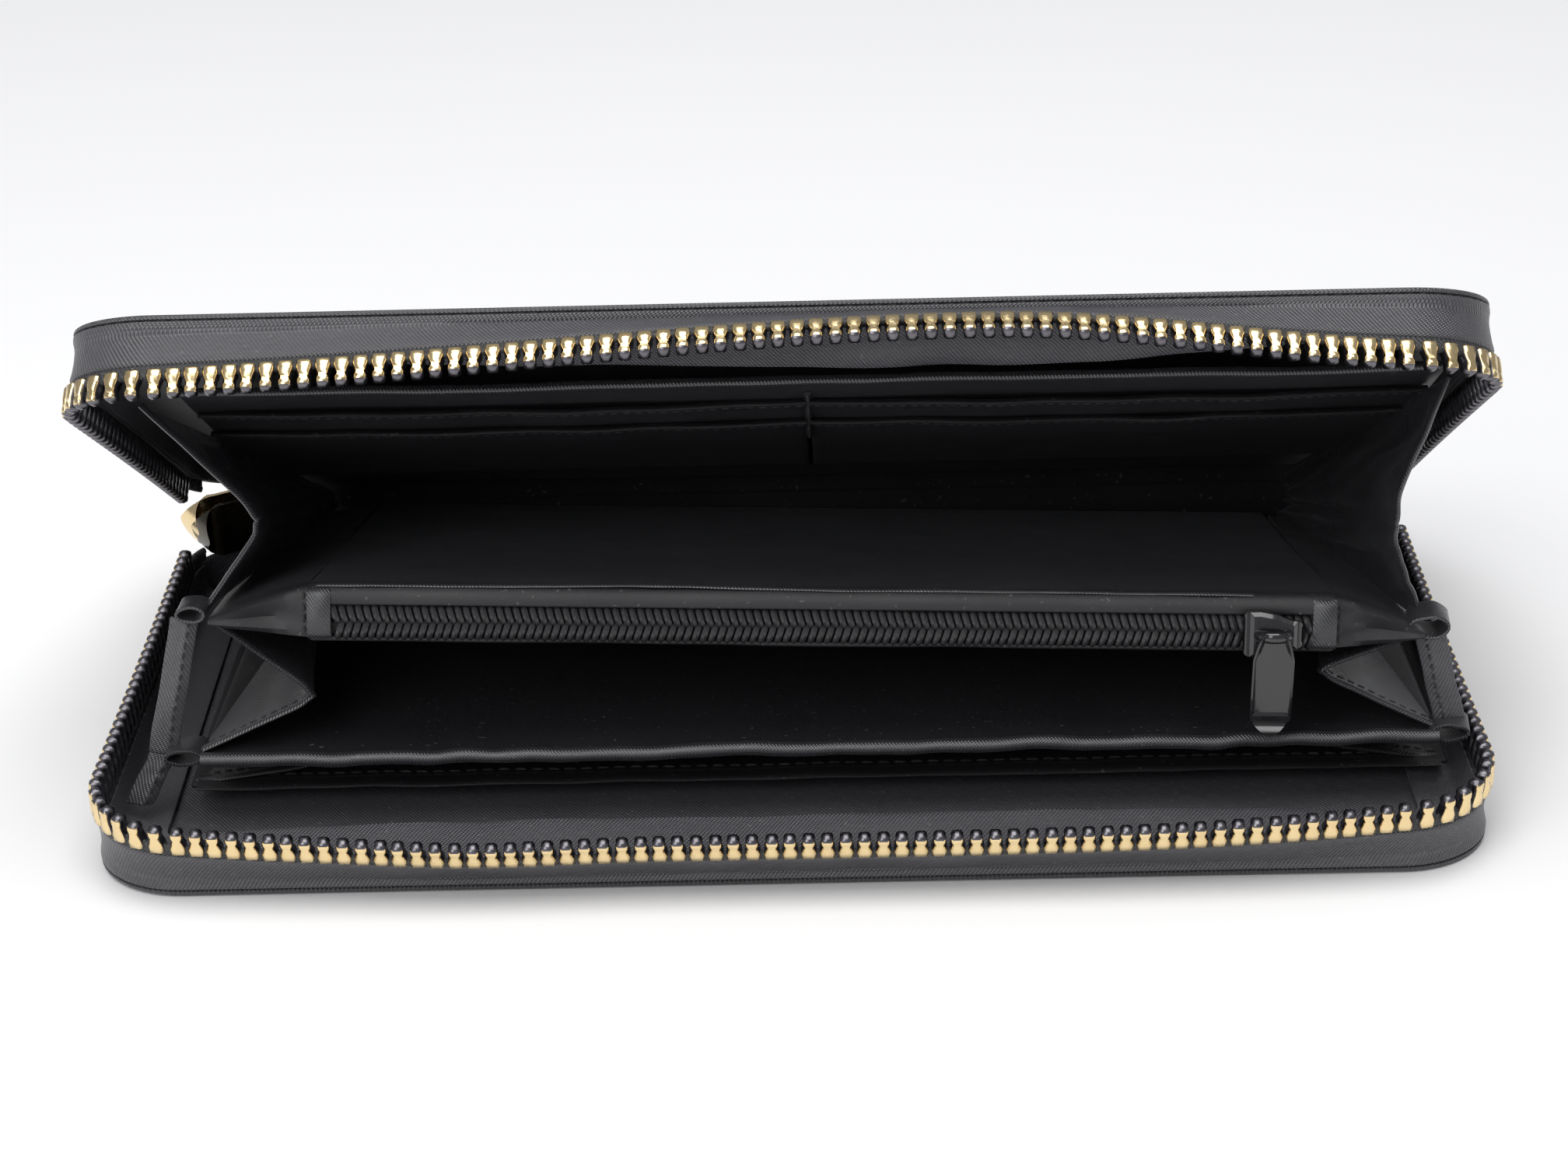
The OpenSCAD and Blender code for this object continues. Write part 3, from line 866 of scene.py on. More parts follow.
def select_where(obj: Piece, kind: str, test: Test) -> None:
    """In edit mode, selects just the elements that pass a test.

    Args:
        obj: the object in edit mode.
        kind: VERT, EDGE or FACE.
        test: takes a bmesh element and says whether it is selected.
    """
    bpy.ops.mesh.select_mode(type=kind)
    bpy.ops.mesh.select_all(action="DESELECT")
    mesh = bmesh.from_edit_mesh(obj.data)
    for element in {"VERT": mesh.verts, "EDGE": mesh.edges, "FACE": mesh.faces}[kind]:
        if test(element):
            element.select_set(True)
    if kind == "VERT":
        mesh.select_flush_mode()
    else:
        mesh.select_flush(True)
    bmesh.update_edit_mesh(obj.data)


def primitive(add: Callable[..., object], name: str = "", **sizes: object) -> Piece:
    """Adds a primitive and goes into edit mode on it, with all of it selected.

    Args:
        add: the operator that adds it.
        name: the piece's name, where it is not joined to another piece.
        **sizes: the operator's own settings, in metres.

    Returns:
        The primitive.
    """
    bpy.ops.object.select_all(action="DESELECT")
    add(**sizes)
    obj = bpy.context.object
    if name:
        obj.name = obj.data.name = name
    bpy.ops.object.mode_set(mode="EDIT")
    bpy.ops.mesh.select_all(action="SELECT")
    return obj


def stretch(x: float, y: float, z: float) -> None:
    """In edit mode, scales what is selected about the origin."""
    bpy.ops.transform.resize(value=(x, y, z), center_override=(0, 0, 0))


def shift(x: float, y: float, z: float) -> None:
    """In edit mode, moves what is selected, by millimetres."""
    bpy.ops.transform.translate(value=(x * MM, y * MM, z * MM))


def bevel(width: float, segments: int) -> None:
    """In edit mode, rounds the selected edges, by millimetres."""
    bpy.ops.mesh.bevel(offset=width * MM, segments=segments, affect="EDGES")


def inset(width: float, sink: float = 0.0) -> None:
    """In edit mode, insets the selected faces and raises what is left of them, by millimetres."""
    bpy.ops.mesh.inset(thickness=width * MM, depth=sink * MM)


def block(name: str, size: Sequence[float], centre: Sequence[float] = (0, 0, 0)) -> Piece:
    """Adds a cube of a size and centre in millimetres and goes into edit mode on it."""
    obj = primitive(bpy.ops.mesh.primitive_cube_add, name, size=1)
    stretch(*(s * MM for s in size))
    shift(*centre)
    return obj


def round_edges(
    obj: Piece, axis: int, width: float, segments: int, test: Test = lambda v: True
) -> None:
    """In edit mode, rounds the edges that run along an axis.

    Args:
        obj: the object in edit mode.
        axis: 0, 1 or 2 for X, Y or Z.
        width: width of the rounding in millimetres.
        segments: number of its steps.
        test: which corners may be at the ends of such an edge.
    """

    def chosen(edge: bmesh.types.BMEdge) -> bool:
        one, two = edge.verts
        return abs(one.co[axis] - two.co[axis]) > 0.5 * MM and test(one) and test(two)

    select_where(obj, "EDGE", chosen)
    bevel(width, segments)


def stretch_at(obj: Piece, axis: int, place: float, *shares: float) -> None:
    """In edit mode, scales the corners at a place along an axis, in millimetres."""
    select_where(obj, "VERT", lambda v: abs(v.co[axis] - place * MM) < TOUCH)
    stretch(*shares)


def map_flat(obj: Piece, side_run: float, end_run: float) -> None:
    """Maps a flat piece from above, with its height run on sideways and lengthways.

    Args:
        obj: the piece.
        side_run: share of the height that is added to x.
        end_run: share of the height that is added to y.
    """
    layer = obj.data.uv_layers.new(name="Cloth")
    for loop in obj.data.loops:
        co = obj.data.vertices[loop.vertex_index].co
        layer.data[loop.index].uv = (co.x + side_run * co.z, co.y + end_run * co.z)


def end_edit(obj: Piece, angle: float = 35.0) -> Piece:
    """Leaves edit mode, turns the faces out and shades the piece."""
    bpy.ops.object.mode_set(mode="OBJECT")
    outward(obj)
    soften(obj, angle)
    return obj


def slice_at(obj: Piece, axis: int, places: Sequence[float]) -> None:
    """In edit mode, cuts a mesh square to an axis at places in millimetres."""
    for place in places:
        bpy.ops.mesh.select_all(action="SELECT")
        spot, way = [0.0] * 3, [0.0] * 3
        spot[axis], way[axis] = place * MM, 1.0
        bpy.ops.mesh.bisect(plane_co=spot, plane_no=way)


def merge(name: str, parts: Sequence[Piece]) -> Piece:
    """Joins finished objects into one."""
    only(parts[0])
    for part in parts:
        part.select_set(True)
    bpy.ops.object.join()
    parts[0].name = parts[0].data.name = name
    return parts[0]


# ---------------------------------------------------------------- placing


@dataclass(frozen=True)
class Place:
    """Where a piece belongs: one body that it moves with, or the lower of two neighbouring leaves
    that it lies between.
    """

    body: str = ""
    below: int = -1


def dress(
    obj: Piece, place: Place, finish: Finish, *more: Finish, replaces: Sequence[str] = ()
) -> Piece:
    """Gives a piece its finishes and, where it has a single body, the body that it moves with.

    Args:
        obj: the finished mesh.
        place: the body that it moves with; a piece between two leaves is only left in place.
        finish: its main finish.
        *more: finishes of its further material slots.
        replaces: the CAD nodes that it stands for.

    Returns:
        The same object.
    """
    slots = [face.material_index for face in obj.data.polygons]
    obj.data.materials.clear()
    for entry in (finish, *more):
        obj.data.materials.append(entry.material)
    if more:
        obj.data.polygons.foreach_set("material_index", slots)
    if "Cloth" not in obj.data.uv_layers:
        obj.data.uv_layers.new(name="Cloth")
    if place.below >= 0:
        near, far = FOLD.hinge(place.below + 1), FOLD.point(place.below + 1, 0, 90, 0)
        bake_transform(obj)
        shares = [FOLD.share(place.below, v.co / MM) for v in obj.data.vertices]
    else:
        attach(obj, place.body)
    finish.slot
    if replaces:
        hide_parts(*replaces)
    LOG.info("%s: %d faces", obj.name, len(obj.data.polygons))
    return obj


NARROWEST = 0.01


def declare(obj: Piece, held: str, *rests_on: str, shaped: bool = False) -> Piece:
    """Reads the flat size that a piece's maker cut, and logs the piece when it is too narrow for a
    sheet of cloth.

    Args:
        obj: the piece, which keeps its flat width and length as wide and long.
        held: how it is held; not used.
        *rests_on: names of what it lies on; not used.
        shaped: whether the cut tapers; not used.

    Returns:
        The same object.
    """
    wide, long = obj["wide"], obj["long"]
    if min(wide, long) < NARROWEST:
        LOG.info(
            "%s: a trim %.1f mm wide, too narrow to declare as a sheet", obj.name,
            min(wide, long) / MM
        )
        return obj
    return obj


def stitch_master(length: float, radius: float) -> Piece:
    """Models one stitch: a short thread along X that dips at both ends.

    Args:
        length: length of the seen thread in millimetres.
        radius: the thread's radius in millimetres.

    Returns:
        The stitch, in metres at the origin.
    """
    obj = block("stitch", (length, 2 * radius, 2 * radius))
    slice_at(obj, 0, (-length * 0.3, length * 0.3))
    select_where(obj, "VERT", lambda v: abs(v.co.x) > length * 0.4 * MM)
    stretch(1, 0.5, 0.5)
    shift(0, 0, -radius * 0.9)
    return end_edit(obj, 80)


def stitches(
    name: str, line: Sequence[Vector], out: Vector | Sequence[Vector], spacing: float,
    length: float, radius: float
) -> Piece:
    """Sews a row of stitches along a line.

    Args:
        name: the piece's name.
        line: closely spaced points in millimetres.
        out: the way out of the cloth, one for all points or one for each.
        spacing: distance from stitch to stitch.
        length: length of each stitch.
        radius: the thread's radius.

    Returns:
        One object with all the stitches.
    """
    ups = [out] * len(line) if isinstance(out, Vector) else out
    dist = running(line)
    places = []
    count = max(1, int(dist[-1] / spacing))
    k = 0
    for i in range(count):
        want = (i + 0.5) * dist[-1] / count
        while dist[k + 1] < want:
            k += 1
        share = (want - dist[k]) / max(dist[k + 1] - dist[k], 1e-9)
        ahead = (line[k + 1] - line[k]).normalized()
        up = (ups[k] - ahead * ups[k].dot(ahead)).normalized()
        places.append(axes(ahead, up.cross(ahead), up, line[k].lerp(line[k + 1], share)))
    return scatter(name, stitch_master(length, radius), places)


# ---------------------------------------------------------------- covers


@dataclass
class Cover:
    """A cover: board wrapped in twill, with its edge turned over and stitched, and its lining."""

    half: Half
    length: float = 192.0
    depth: float = 100.0
    mouth_radius: float = 13.0
    spine_radius: float = 12.0
    border: float = 3.2
    groove: tuple[float, float, float] = (0.66, 0.82, 0.98)
    lining_inset: float = 2.2

    def placing(self) -> Matrix:
        """The matrix from a cover that lies outer face down to the cover's own place."""
        if self.half is Half.LOWER:
            return Matrix.Identity(4)
        base = FOLD.point(4, 0, 0, 0) * MM
        turn = Matrix.Rotation(-math.radians(FOLD.angles[4]), 4, "X")
        shift = Matrix.Translation((0, -FOLD.hinge_y * MM, (UPPER_CLEAR + COVER_T) * MM))
        return Matrix.Translation(base) @ turn @ shift @ Matrix.Rotation(math.pi, 4, "Y")

    def slab(self, name: str, edge: float, base: float, thick: float) -> Piece:
        """Adds a plane in the cover's outline, rounds its corners and gives it a thickness.

        Args:
            name: the piece's name.
            edge: how far inside the cover's edge it ends.
            base: height of its lower face.
            thick: its thickness.

        Returns:
            The slab, in edit mode.
        """
        obj = primitive(bpy.ops.mesh.primitive_plane_add, name, size=1)
        stretch((self.length - 2 * edge) * MM, (self.depth - 2 * edge) * MM, 1)
        shift(0, 0, base)
        far_x, far_y = (self.length / 2 - edge - 0.01) * MM, (self.depth / 2 - edge - 0.01) * MM
        for radius, side in ((self.mouth_radius, -1), (self.spine_radius, 1)):
            select_where(obj, "VERT", lambda v: v.co.y * side > far_y and abs(v.co.x) > far_x)
            bpy.ops.mesh.bevel(
                offset=(radius - edge) * MM, offset_type="OFFSET", segments=14, affect="VERTICES",
                clamp_overlap=False
            )
        bpy.ops.mesh.select_all(action="SELECT")
        bpy.ops.mesh.extrude_region_move(TRANSFORM_OT_translate={"value": (0, 0, thick * MM)})
        return obj

    def shell(self) -> Piece:
        """The twill cover: a rounded rim with a sewn groove, and a line pressed in its outer face.

        Returns:
            The shell.
        """
        obj = self.slab(f"{self.half.word}_cover_twill", 0.0, 0.0, COVER_T)
        slice_at(obj, 2, self.groove)
        select_where(obj, "VERT", lambda v: abs(v.co.z - self.groove[1] * MM) < TOUCH)
        bpy.ops.transform.shrink_fatten(value=-0.5 * MM)
        top = (COVER_T - 0.01) * MM
        select_where(
            obj, "EDGE",
            lambda e: all(v.co.z < TOUCH for v in e.verts) or all(v.co.z > top for v in e.verts)
        )
        bevel(0.5, 4)
        select_where(obj, "FACE", lambda f: f.normal.z < -0.99 and f.calc_area() > 0.001)
        inset(self.border)
        inset(0.35, -0.22)
        inset(0.35, 0.16)
        obj = end_edit(obj, 45)
        map_flat(obj, 0.6, 1.0)
        return obj

    def outline(self, edge: float, z: float) -> list[Vector]:
        """Closely spaced points round the flat cover, a little inside its edge."""
        line = []
        half_x, half_y = self.length / 2 - edge, self.depth / 2 - edge
        corners = (
            (1, -1, self.mouth_radius, -90), (1, 1, self.spine_radius, 0),
            (-1, 1, self.spine_radius, 90), (-1, -1, self.mouth_radius, 180)
        )
        for side_x, side_y, radius, start in corners:
            turn = radius - edge
            for k in range(9):
                angle = math.radians(start + 90 * k / 8)
                x = side_x * (half_x - turn) + turn * math.cos(angle)
                line.append(Vector((x, side_y * (half_y - turn) + turn * math.sin(angle), z)))
        line.append(line[0])
        fine = []
        for one, two in zip(line, line[1:]):
            steps = max(1, int((two - one).length / 1.3))
            fine += [one.lerp(two, k / steps) for k in range(steps)]
        return fine + [line[0]]

    def seam(self) -> Piece:
        """The row of stitches in the border line of the outer face."""
        line = self.outline(self.border + 0.9, 0.2)
        return stitches(f"{self.half.word}_cover_border_stitches", line, DOWN, 3.0, 2.3, 0.17)

    def rim_thread(self) -> Piece:
        """The row of short stitches in the groove round the rim."""
        line = self.outline(0.42, self.groove[1])
        ways = [heading(line, i) for i in range(len(line))]
        out = [Vector((way.y, -way.x, 0)).normalized() for way in ways]
        return stitches(f"{self.half.word}_cover_rim_stitches", line, out, 1.9, 1.4, 0.15)

    def lining(self) -> Piece:
        """The lining: a thin flat sheet over the board.

        Returns:
            The lining.
        """
        edge = self.lining_inset
        obj = self.slab(f"{self.half.word}_cover_lining", edge, COVER_T - 0.25, 0.4)
        select_where(obj, "EDGE", lambda e: all(v.co.z > (COVER_T + 0.1) * MM for v in e.verts))
        bevel(0.15, 2)
        obj = end_edit(obj, 45)
        map_flat(obj, 0.0, 0.0)
        obj["wide"], obj["long"] = (self.length - 2 * edge) * MM, (self.depth - 2 * edge) * MM
        return obj

    def build(self) -> None:
        """Builds the cover's pieces and dresses them."""
        word, place = self.half.word, Place(self.half.body)
        made = [
            (self.shell(), Finish.OUTER, [f"{word}_shell"]),
            (self.seam(), Finish.THREAD, []),
            (self.rim_thread(), Finish.THREAD, []),
            # The lining takes the lighter copy of the lining satin, painted light for its
            # upward-facing strip by the teeth.
            (self.lining(), Finish.LIT_LINING, [f"{word}_lining"]),
        ]
        for obj, finish, nodes in made:
            obj.data.transform(self.placing())
            dress(obj, place, finish, replaces=nodes)
        declare(made[3][0], "stretched", f"{word}_board")


# ---------------------------------------------------------------- main zip


@dataclass
class ZipHalf:
    """One half of the main zip: the cloth band, the woven tape and the metal teeth."""

    half: Half
    band_top: float = 5.5
    tape_top: float = 7.3
    tooth_foot: float = 6.0
    tooth_height: float = 4.1
    tooth_upright: float = 0.40
    section_step: float = 1.3
    band_start: float = 2.0
    tape_start: float = 10.5
    facing_start: float = 12.0

    def ring(
        self, dist: float, outline: Sequence[tuple[float, float]], wave: float
    ) -> list[Vector]:
        """Points of a cross-section, (height, out) each, at a distance along the chain."""
        seed = 3.0 if self.half is Half.LOWER else 9.0
        push = wave * ripple(dist / 11.0, 0, seed)
        slack = [push * math.sin(math.pi * clamp(h / self.band_top)) for h, _ in outline]
        return [CHAIN.point(self.half, dist, h, w + more) for (h, w), more in zip(outline, slack)]

    def stations(self, start: float) -> list[float]:
        """Distances along the chain from a start to the same distance before its end."""
        run = CHAIN.length - 2 * start
        count = int(run / self.section_step)
        return [start + run * i / count for i in range(count + 1)]

    def band(self) -> Piece:
        """The cloth band, slack and a little wavy, rolled over where the tape is sewn to it."""
        top = self.band_top
        outline = [
            (0.0, -0.75), (1.2, -0.62), (2.6, -0.55), (4.0, -0.55), (top - 0.5, -0.62),
            (top - 0.12, -0.5), (top + 0.08, 0.0), (top - 0.12, 0.5), (top - 0.5, 0.66),
            (4.0, 0.64), (2.6, 0.74), (1.2, 0.98), (0.2, 1.30), (-0.6, 1.46), (-1.15, 1.44),
            (-1.15, 0.9), (-0.2, 0.3)
        ]
        rings = [self.ring(d, outline, 0.30) for d in self.stations(self.band_start)]
        return swept(f"{self.half.word}_zip_band_cloth", rings)

    def tape(self) -> Piece:
        """The woven tape with the bead along its edge that the teeth grip."""
        low, high = self.band_top - 0.5, self.tape_top
        outline = [
            (low, -0.33), (high - 0.9, -0.33), (high - 0.5, -0.5), (high, -0.3), (high + 0.1, 0.0),
            (high, 0.3), (high - 0.5, 0.5), (high - 0.9, 0.33), (low, 0.33)
        ]
        rings = [self.ring(d, outline, 0.0) for d in self.stations(self.tape_start)]
        return swept(f"{self.half.word}_zip_woven_tape", rings)

    def tooth(self) -> Piece:
        """One tooth, from a block: a broad base that grips the tape, a neck and a round head.

        Returns:
            The tooth, with X along the chain, Y out of the zip's face and Z to the head.
        """
        tall = self.tooth_height
        obj = block("tooth", (2.15, 2.2, tall), (0, 0, tall / 2))
        round_edges(obj, 2, 0.36, 1)
        slice_at(obj, 2, (0.3, 1.3, 2.1, 2.7, 3.2, 3.75))
        rings = (
            (0.0, 0.92, 0.92), (1.3, 0.97, 1.0), (2.1, 0.70, 0.95), (2.7, 0.66, 0.86),
            (3.2, 0.80, 0.88), (3.75, 0.72, 0.80), (tall, 0.36, 0.5)
        )
        for height, wide, thick in rings:
            stretch_at(obj, 2, height, wide, thick, 1)
        obj = end_edit(obj, 60)
        # Faces that look out of the zip take the gold; the sides, inner faces and head tips take
        # its darker copy as painted shade.
        for face in obj.data.polygons:
            face.material_index = 0 if face.normal.y > 0.2 and face.normal.z < 0.6 else 1
        return obj

    def teeth(self) -> Piece:
        """The row of teeth, each square to the chain and leaning with the band."""
        count = int((CHAIN.length - 2 * (CHAIN.start + 1)) / CHAIN.pitch)
        places = []
        for i in range(count + 1):
            dist = CHAIN.length / 2 + (i - count / 2) * CHAIN.pitch
            foot = CHAIN.point(self.half, dist, self.tooth_foot, 0)
            up = (CHAIN.point(self.half, dist, self.tooth_foot + 1, 0) - foot).normalized()
            out = (CHAIN.point(self.half, dist, self.tooth_foot, 1) - foot).normalized()
            place = axes(out.cross(up), out, up, foot)
            x, depth, _, _ = CHAIN.at(dist)
            upright = Matrix.Rotation(self.tooth_upright * CHAIN.lean(self.half, x, depth), 4, "X")
            tilt = Matrix.Rotation(0.05 * ripple(i * 1.7, 2, self.half.value), 4, "Y")
            places.append(place @ upright @ tilt)
        return scatter(f"{self.half.word}_zip_metal_teeth", self.tooth(), places)

    def lit_lining(self) -> Piece:
        """The strip of cloth that lines the cover's edge and turns up the band's inner face."""
        profile = (
            (-8.0, 0.45), (-6.2, 0.50), (-4.6, 0.52), (-3.3, 0.60), (-2.2, 0.85), (-1.5, 1.35),
            (-1.15, 2.1), (-0.98, 3.2), (-0.92, 4.2), (-0.9, 5.1)
        )
        section = [Vector(spot) for spot in profile]

        def surface(u: float, v: float) -> Vector:
            dist = self.facing_start + (CHAIN.length - 2 * self.facing_start) * u
            out, height = between(section, v)
            wave = 0.10 * ripple(dist / 13.0, v * 4.0, 12.0 + self.half.value)
            return CHAIN.point(self.half, dist, height + wave, out)

        return cloth(f"{self.half.word}_zip_facing_cloth", surface, 330, 22, 0.35, edge=0.2)

    def build(self) -> None:
        """Builds the half and dresses it."""
        word, place = self.half.word, Place(self.half.body)
        declare(
            dress(self.band(), place, Finish.BAND, replaces=[f"{word}_zip_band"]), "stretched",
            f"{word}_cover_twill"
        )
        declare(
            dress(self.tape(), place, Finish.TAPE, replaces=[f"{word}_zip_tape"]), "stretched",
            f"{word}_zip_band_cloth"
        )
        # The facing strip takes the band's lighter satin: real on the band's inner face, painted
        # light on the lining margin that faces up.
        declare(dress(self.lit_lining(), place, Finish.BAND), "stretched", f"{word}_cover_lining")
        dress(self.teeth(), place, Finish.GOLD, Finish.TOOTH_SHADE, replaces=[f"{word}_zip_teeth"])


# ---------------------------------------------------------------- inner leaves


@dataclass
class SlipPocket:
    """The flat pocket sewn on the lower lining, with a stitched hem at its lip."""

    x0: float = -84.5
    x1: float = 92.0
    depth: float = 78.0
    rise: float = 2.7
    hem: float = 2.6

    def height(self, x: float, share: float) -> float:
        """Height of the pocket's cloth over the lining at a share of its depth."""
        swell = 1 + 0.04 * ripple(x / 26, 0.3, 5)
        return 0.6 + (self.rise + 0.1) * ease(share) * swell + 0.15 * share * ripple(
            x / 9, share * 3, 6
        )

    def surface(self, u: float, v: float) -> Vector:
        """A point of the pocket's cloth, v from the spine to the lip."""
        x = taper(self.x0, self.x1, u, v)
        depth = 3 + (self.depth - 3 + 0.5 * ripple(x / 30, 1, 5)) * v
        return FOLD.point(0, x, depth, COVER_T + self.height(x, v))

    def hem_line(self, back: float, lift: float) -> list[Vector]:
        """Points along the lip, a little behind its edge and above its cloth."""
        line = []
        for k in range(141):
            x = self.x0 + 1 + (self.x1 - self.x0 - 2) * k / 140
            line.append(
                FOLD.point(
                    0, x, self.depth - back, COVER_T + self.height(x, 1 - back / self.depth) + lift
                )
            )
        return line

    def build(self) -> None:
        """Builds the pocket, its folded hem and its stitches."""
        place = Place("lower_cover")
        panel = cloth("slip_pocket_cloth", self.surface, 150, 40, 0.7)
        dress(panel, place, Finish.LINING, replaces=["slip_pocket"])
        declare(panel, "stretched", "lower_cover_lining")
        hem = rolled("slip_pocket_hem", self.hem_line(0.4, 0.1), 1.7, 0.5, 0.12, 6, 11)
        dress(hem, place, Finish.LINING)
        row = self.hem_line(self.hem, 0.42)
        dress(stitches("slip_pocket_stitches", row, UP, 2.3, 1.7, 0.15), place, Finish.THREAD)


@dataclass
class Divider:
    """The soft divider leaf with its rolled, slightly wrinkled front edge."""

    x0: float = -81.5
    x1: float = 89.5
    depth: float = 84.0

    def height(self, x: float, depth: float) -> float:
        """Height of the cloth over the leaf: a shallow sag with pulls near its front corners."""
        front = bump_at(depth, self.depth, 9)
        pulls = 0.55 * bump_at(x, -45, 9) * math.sin(x / 1.9)
        pulls += 0.45 * bump_at(x, 62, 6) * math.sin(x / 1.6)
        return 0.30 * ripple(x / 20, depth / 26, 1) + front * (
            0.30 * ripple(x / 6, 0, 2) + 0.5 * pulls
        )

    def surface(self, u: float, v: float) -> Vector:
        """A point of the divider's cloth."""
        depth = 1.8 + (self.depth - 1.8) * v
        x = taper(self.x0, self.x1, u, v)
        return FOLD.point(1, x, depth, self.height(x, depth))

    def build(self) -> None:
        """Builds the leaf and its rolled edge."""
        place = Place("divider_leaf")
        leaf = cloth("divider_cloth", self.surface, 170, 44, 1.0)
        dress(leaf, place, Finish.LINING, replaces=["divider"])
        declare(leaf, "stretched", "lower_cover_lining")
        path = []
        for k in range(181):
            x = self.x0 + (self.x1 - self.x0) * k / 180
            depth = self.depth + 0.5 + 0.3 * ripple(x / 15, 0, 3)
            path.append(FOLD.point(1, x, depth, self.height(x, self.depth)))
        edge = rolled("divider_rolled_edge", path, 1.15, 1.0, 0.10, 5, 4)
        dress(edge, place, Finish.SLEEK, replaces=["divider_hem"])


@dataclass
class CoinPocket:
    """The coin pocket: two walls, the coil zip across its front and a folded point at each end."""

    body: tuple[float, float] = (-65.0, 74.5)
    tips: tuple[float, float] = (-79.0, 87.0)
    depth: float = 86.0
    half_tall: float = 4.8
    zip_from: float = -62.0
    zip_to: float = 71.5
    coil_pitch: float = 1.13
    upper_profile: tuple[tuple[float, float], ...] = (
        (1.8, 0.7), (20.0, 1.7), (45.0, 2.9), (70.0, 4.1), (82.0, 4.7), (85.6, 4.85),
        (86.6, 4.6), (87.0, 3.9), (87.0, 3.0), (86.9, 2.35),
    )
    lower_profile: tuple[tuple[float, float], ...] = (
        (1.8, 0.7), (20.0, 1.9), (45.0, 3.1), (70.0, 3.4), (82.0, 2.9), (85.6, 2.65),
        (86.3, 2.5), (86.6, 2.3),
    )

    def wall(self, side: int) -> Shape:
        """The shape of a wall that folds down over the front to the zip.

        Args:
            side: 1 for the upper wall, -1 for the lower.

        Returns:
            The shape, for cloth().
        """
        profile = [
            Vector(spot) for spot in (self.upper_profile if side > 0 else self.lower_profile)
        ]
        reach = running(profile)

        def surface(u: float, v: float) -> Vector:
            x = self.body[0] + (self.body[1] - self.body[0]) * u
            want = reach[-1] * v
            k = max(0, min(len(profile) - 2, sum(1 for r in reach if r < want) - 1))
            share = (want - reach[k]) / (reach[k + 1] - reach[k])
            spot = profile[k].lerp(profile[k + 1], clamp(share))
            waves = 0.5 * ripple(x / 24, spot.x / 20, 20 + side)
            loose = math.sin(math.pi * min(1.0, spot.x / self.depth)) * waves
            lip = 0.22 * ripple(x / 13, 0, 22 + side) if spot.x > 84 else 0.0
            return FOLD.coin(x, spot.x + lip, side * (spot.y + lip * 0.4) + loose)

        return surface

    @staticmethod
    def end_word(side: int) -> str:
        """The name of an end, -1 for the left and 1 for the right."""
        return "left" if side < 0 else "right"

    @staticmethod
    def row_word(side: int) -> str:
        """The name of a wall or row, 1 for the upper and -1 for the lower."""
        return "upper" if side > 0 else "lower"

    def end(self, side: int) -> Piece:
        """A folded end: the pocket's front pressed down to a point, with a crease along it.

        Args:
            side: -1 for the left end, 1 for the right.

        Returns:
            The end piece.
        """
        body, tip = (self.body[0], self.tips[0]) if side < 0 else (self.body[1], self.tips[1])
        rings = []
        for k in range(17):
            share = k / 16
            x = body + (tip - body) * share
            tall = self.half_tall * (1 - share) ** 0.85 * (1 + 0.10 * math.sin(3 * share)) + 0.5
            foot = 2.0 * (1 - share) ** 0.85 + 0.5
            rear = 1.4 * (1 - share) + 0.5
            press = 1.5 * math.sin(math.pi * min(1.0, share * 1.05)) * (1 - share * 0.5)
            front = self.depth + 0.9 - 0.9 * share
            under = (
                (9, -rear), (60, -foot - rear), (front - 2.0, -foot), (front - 0.4, -foot * 0.9)
            )
            crease = (
                (front, -foot * 0.5), (front - press * 0.6, -foot * 0.1),
                (front - press, tall * 0.14), (front - press * 0.5, tall * 0.36),
                (front + 0.1, tall * 0.66),
            )
            over = (
                (front - 0.8, tall * 0.90), (front - 4.0, tall * 0.96), (60, (rear + tall) / 2),
                (9, rear)
            )
            wobble = 0.25 * ripple(share * 4, side, 30)
            rings.append(
                [FOLD.coin(x, d + wobble, z - 0.5 * share) for d, z in under + crease + over]
            )
        return swept(f"coin_pocket_folded_end_{self.end_word(side)}", rings)

    def end_block(self, side: int) -> Piece:
        """The sewn tab over an end of the zip, a small cushion of doubled cloth."""
        x0, x1 = (
            self.body[0] - 0.2, self.zip_from
        ) if side < 0 else (self.zip_to, self.body[1] + 0.2)
        rings = []
        for k in range(9):
            share = k / 8
            x = x0 + (x1 - x0) * share
            puff = 0.75 * math.sin(math.pi * (0.12 + 0.76 * share)) ** 0.6
            tall = self.half_tall * (0.98 + 0.03 * ripple(share * 2, side, 31))
            outline = (
                (86.3, -2.4), (86.9 + puff * 0.5, -2.3), (87.1 + puff, -1.6), (87.2 + puff, 1.2),
                (87.1 + puff, tall * 0.78), (86.9 + puff * 0.5, tall * 0.97), (86.3, tall)
            )
            rings.append([FOLD.coin(x, d, z) for d, z in outline])
        return swept(f"coin_zip_end_tab_{self.end_word(side)}", rings)

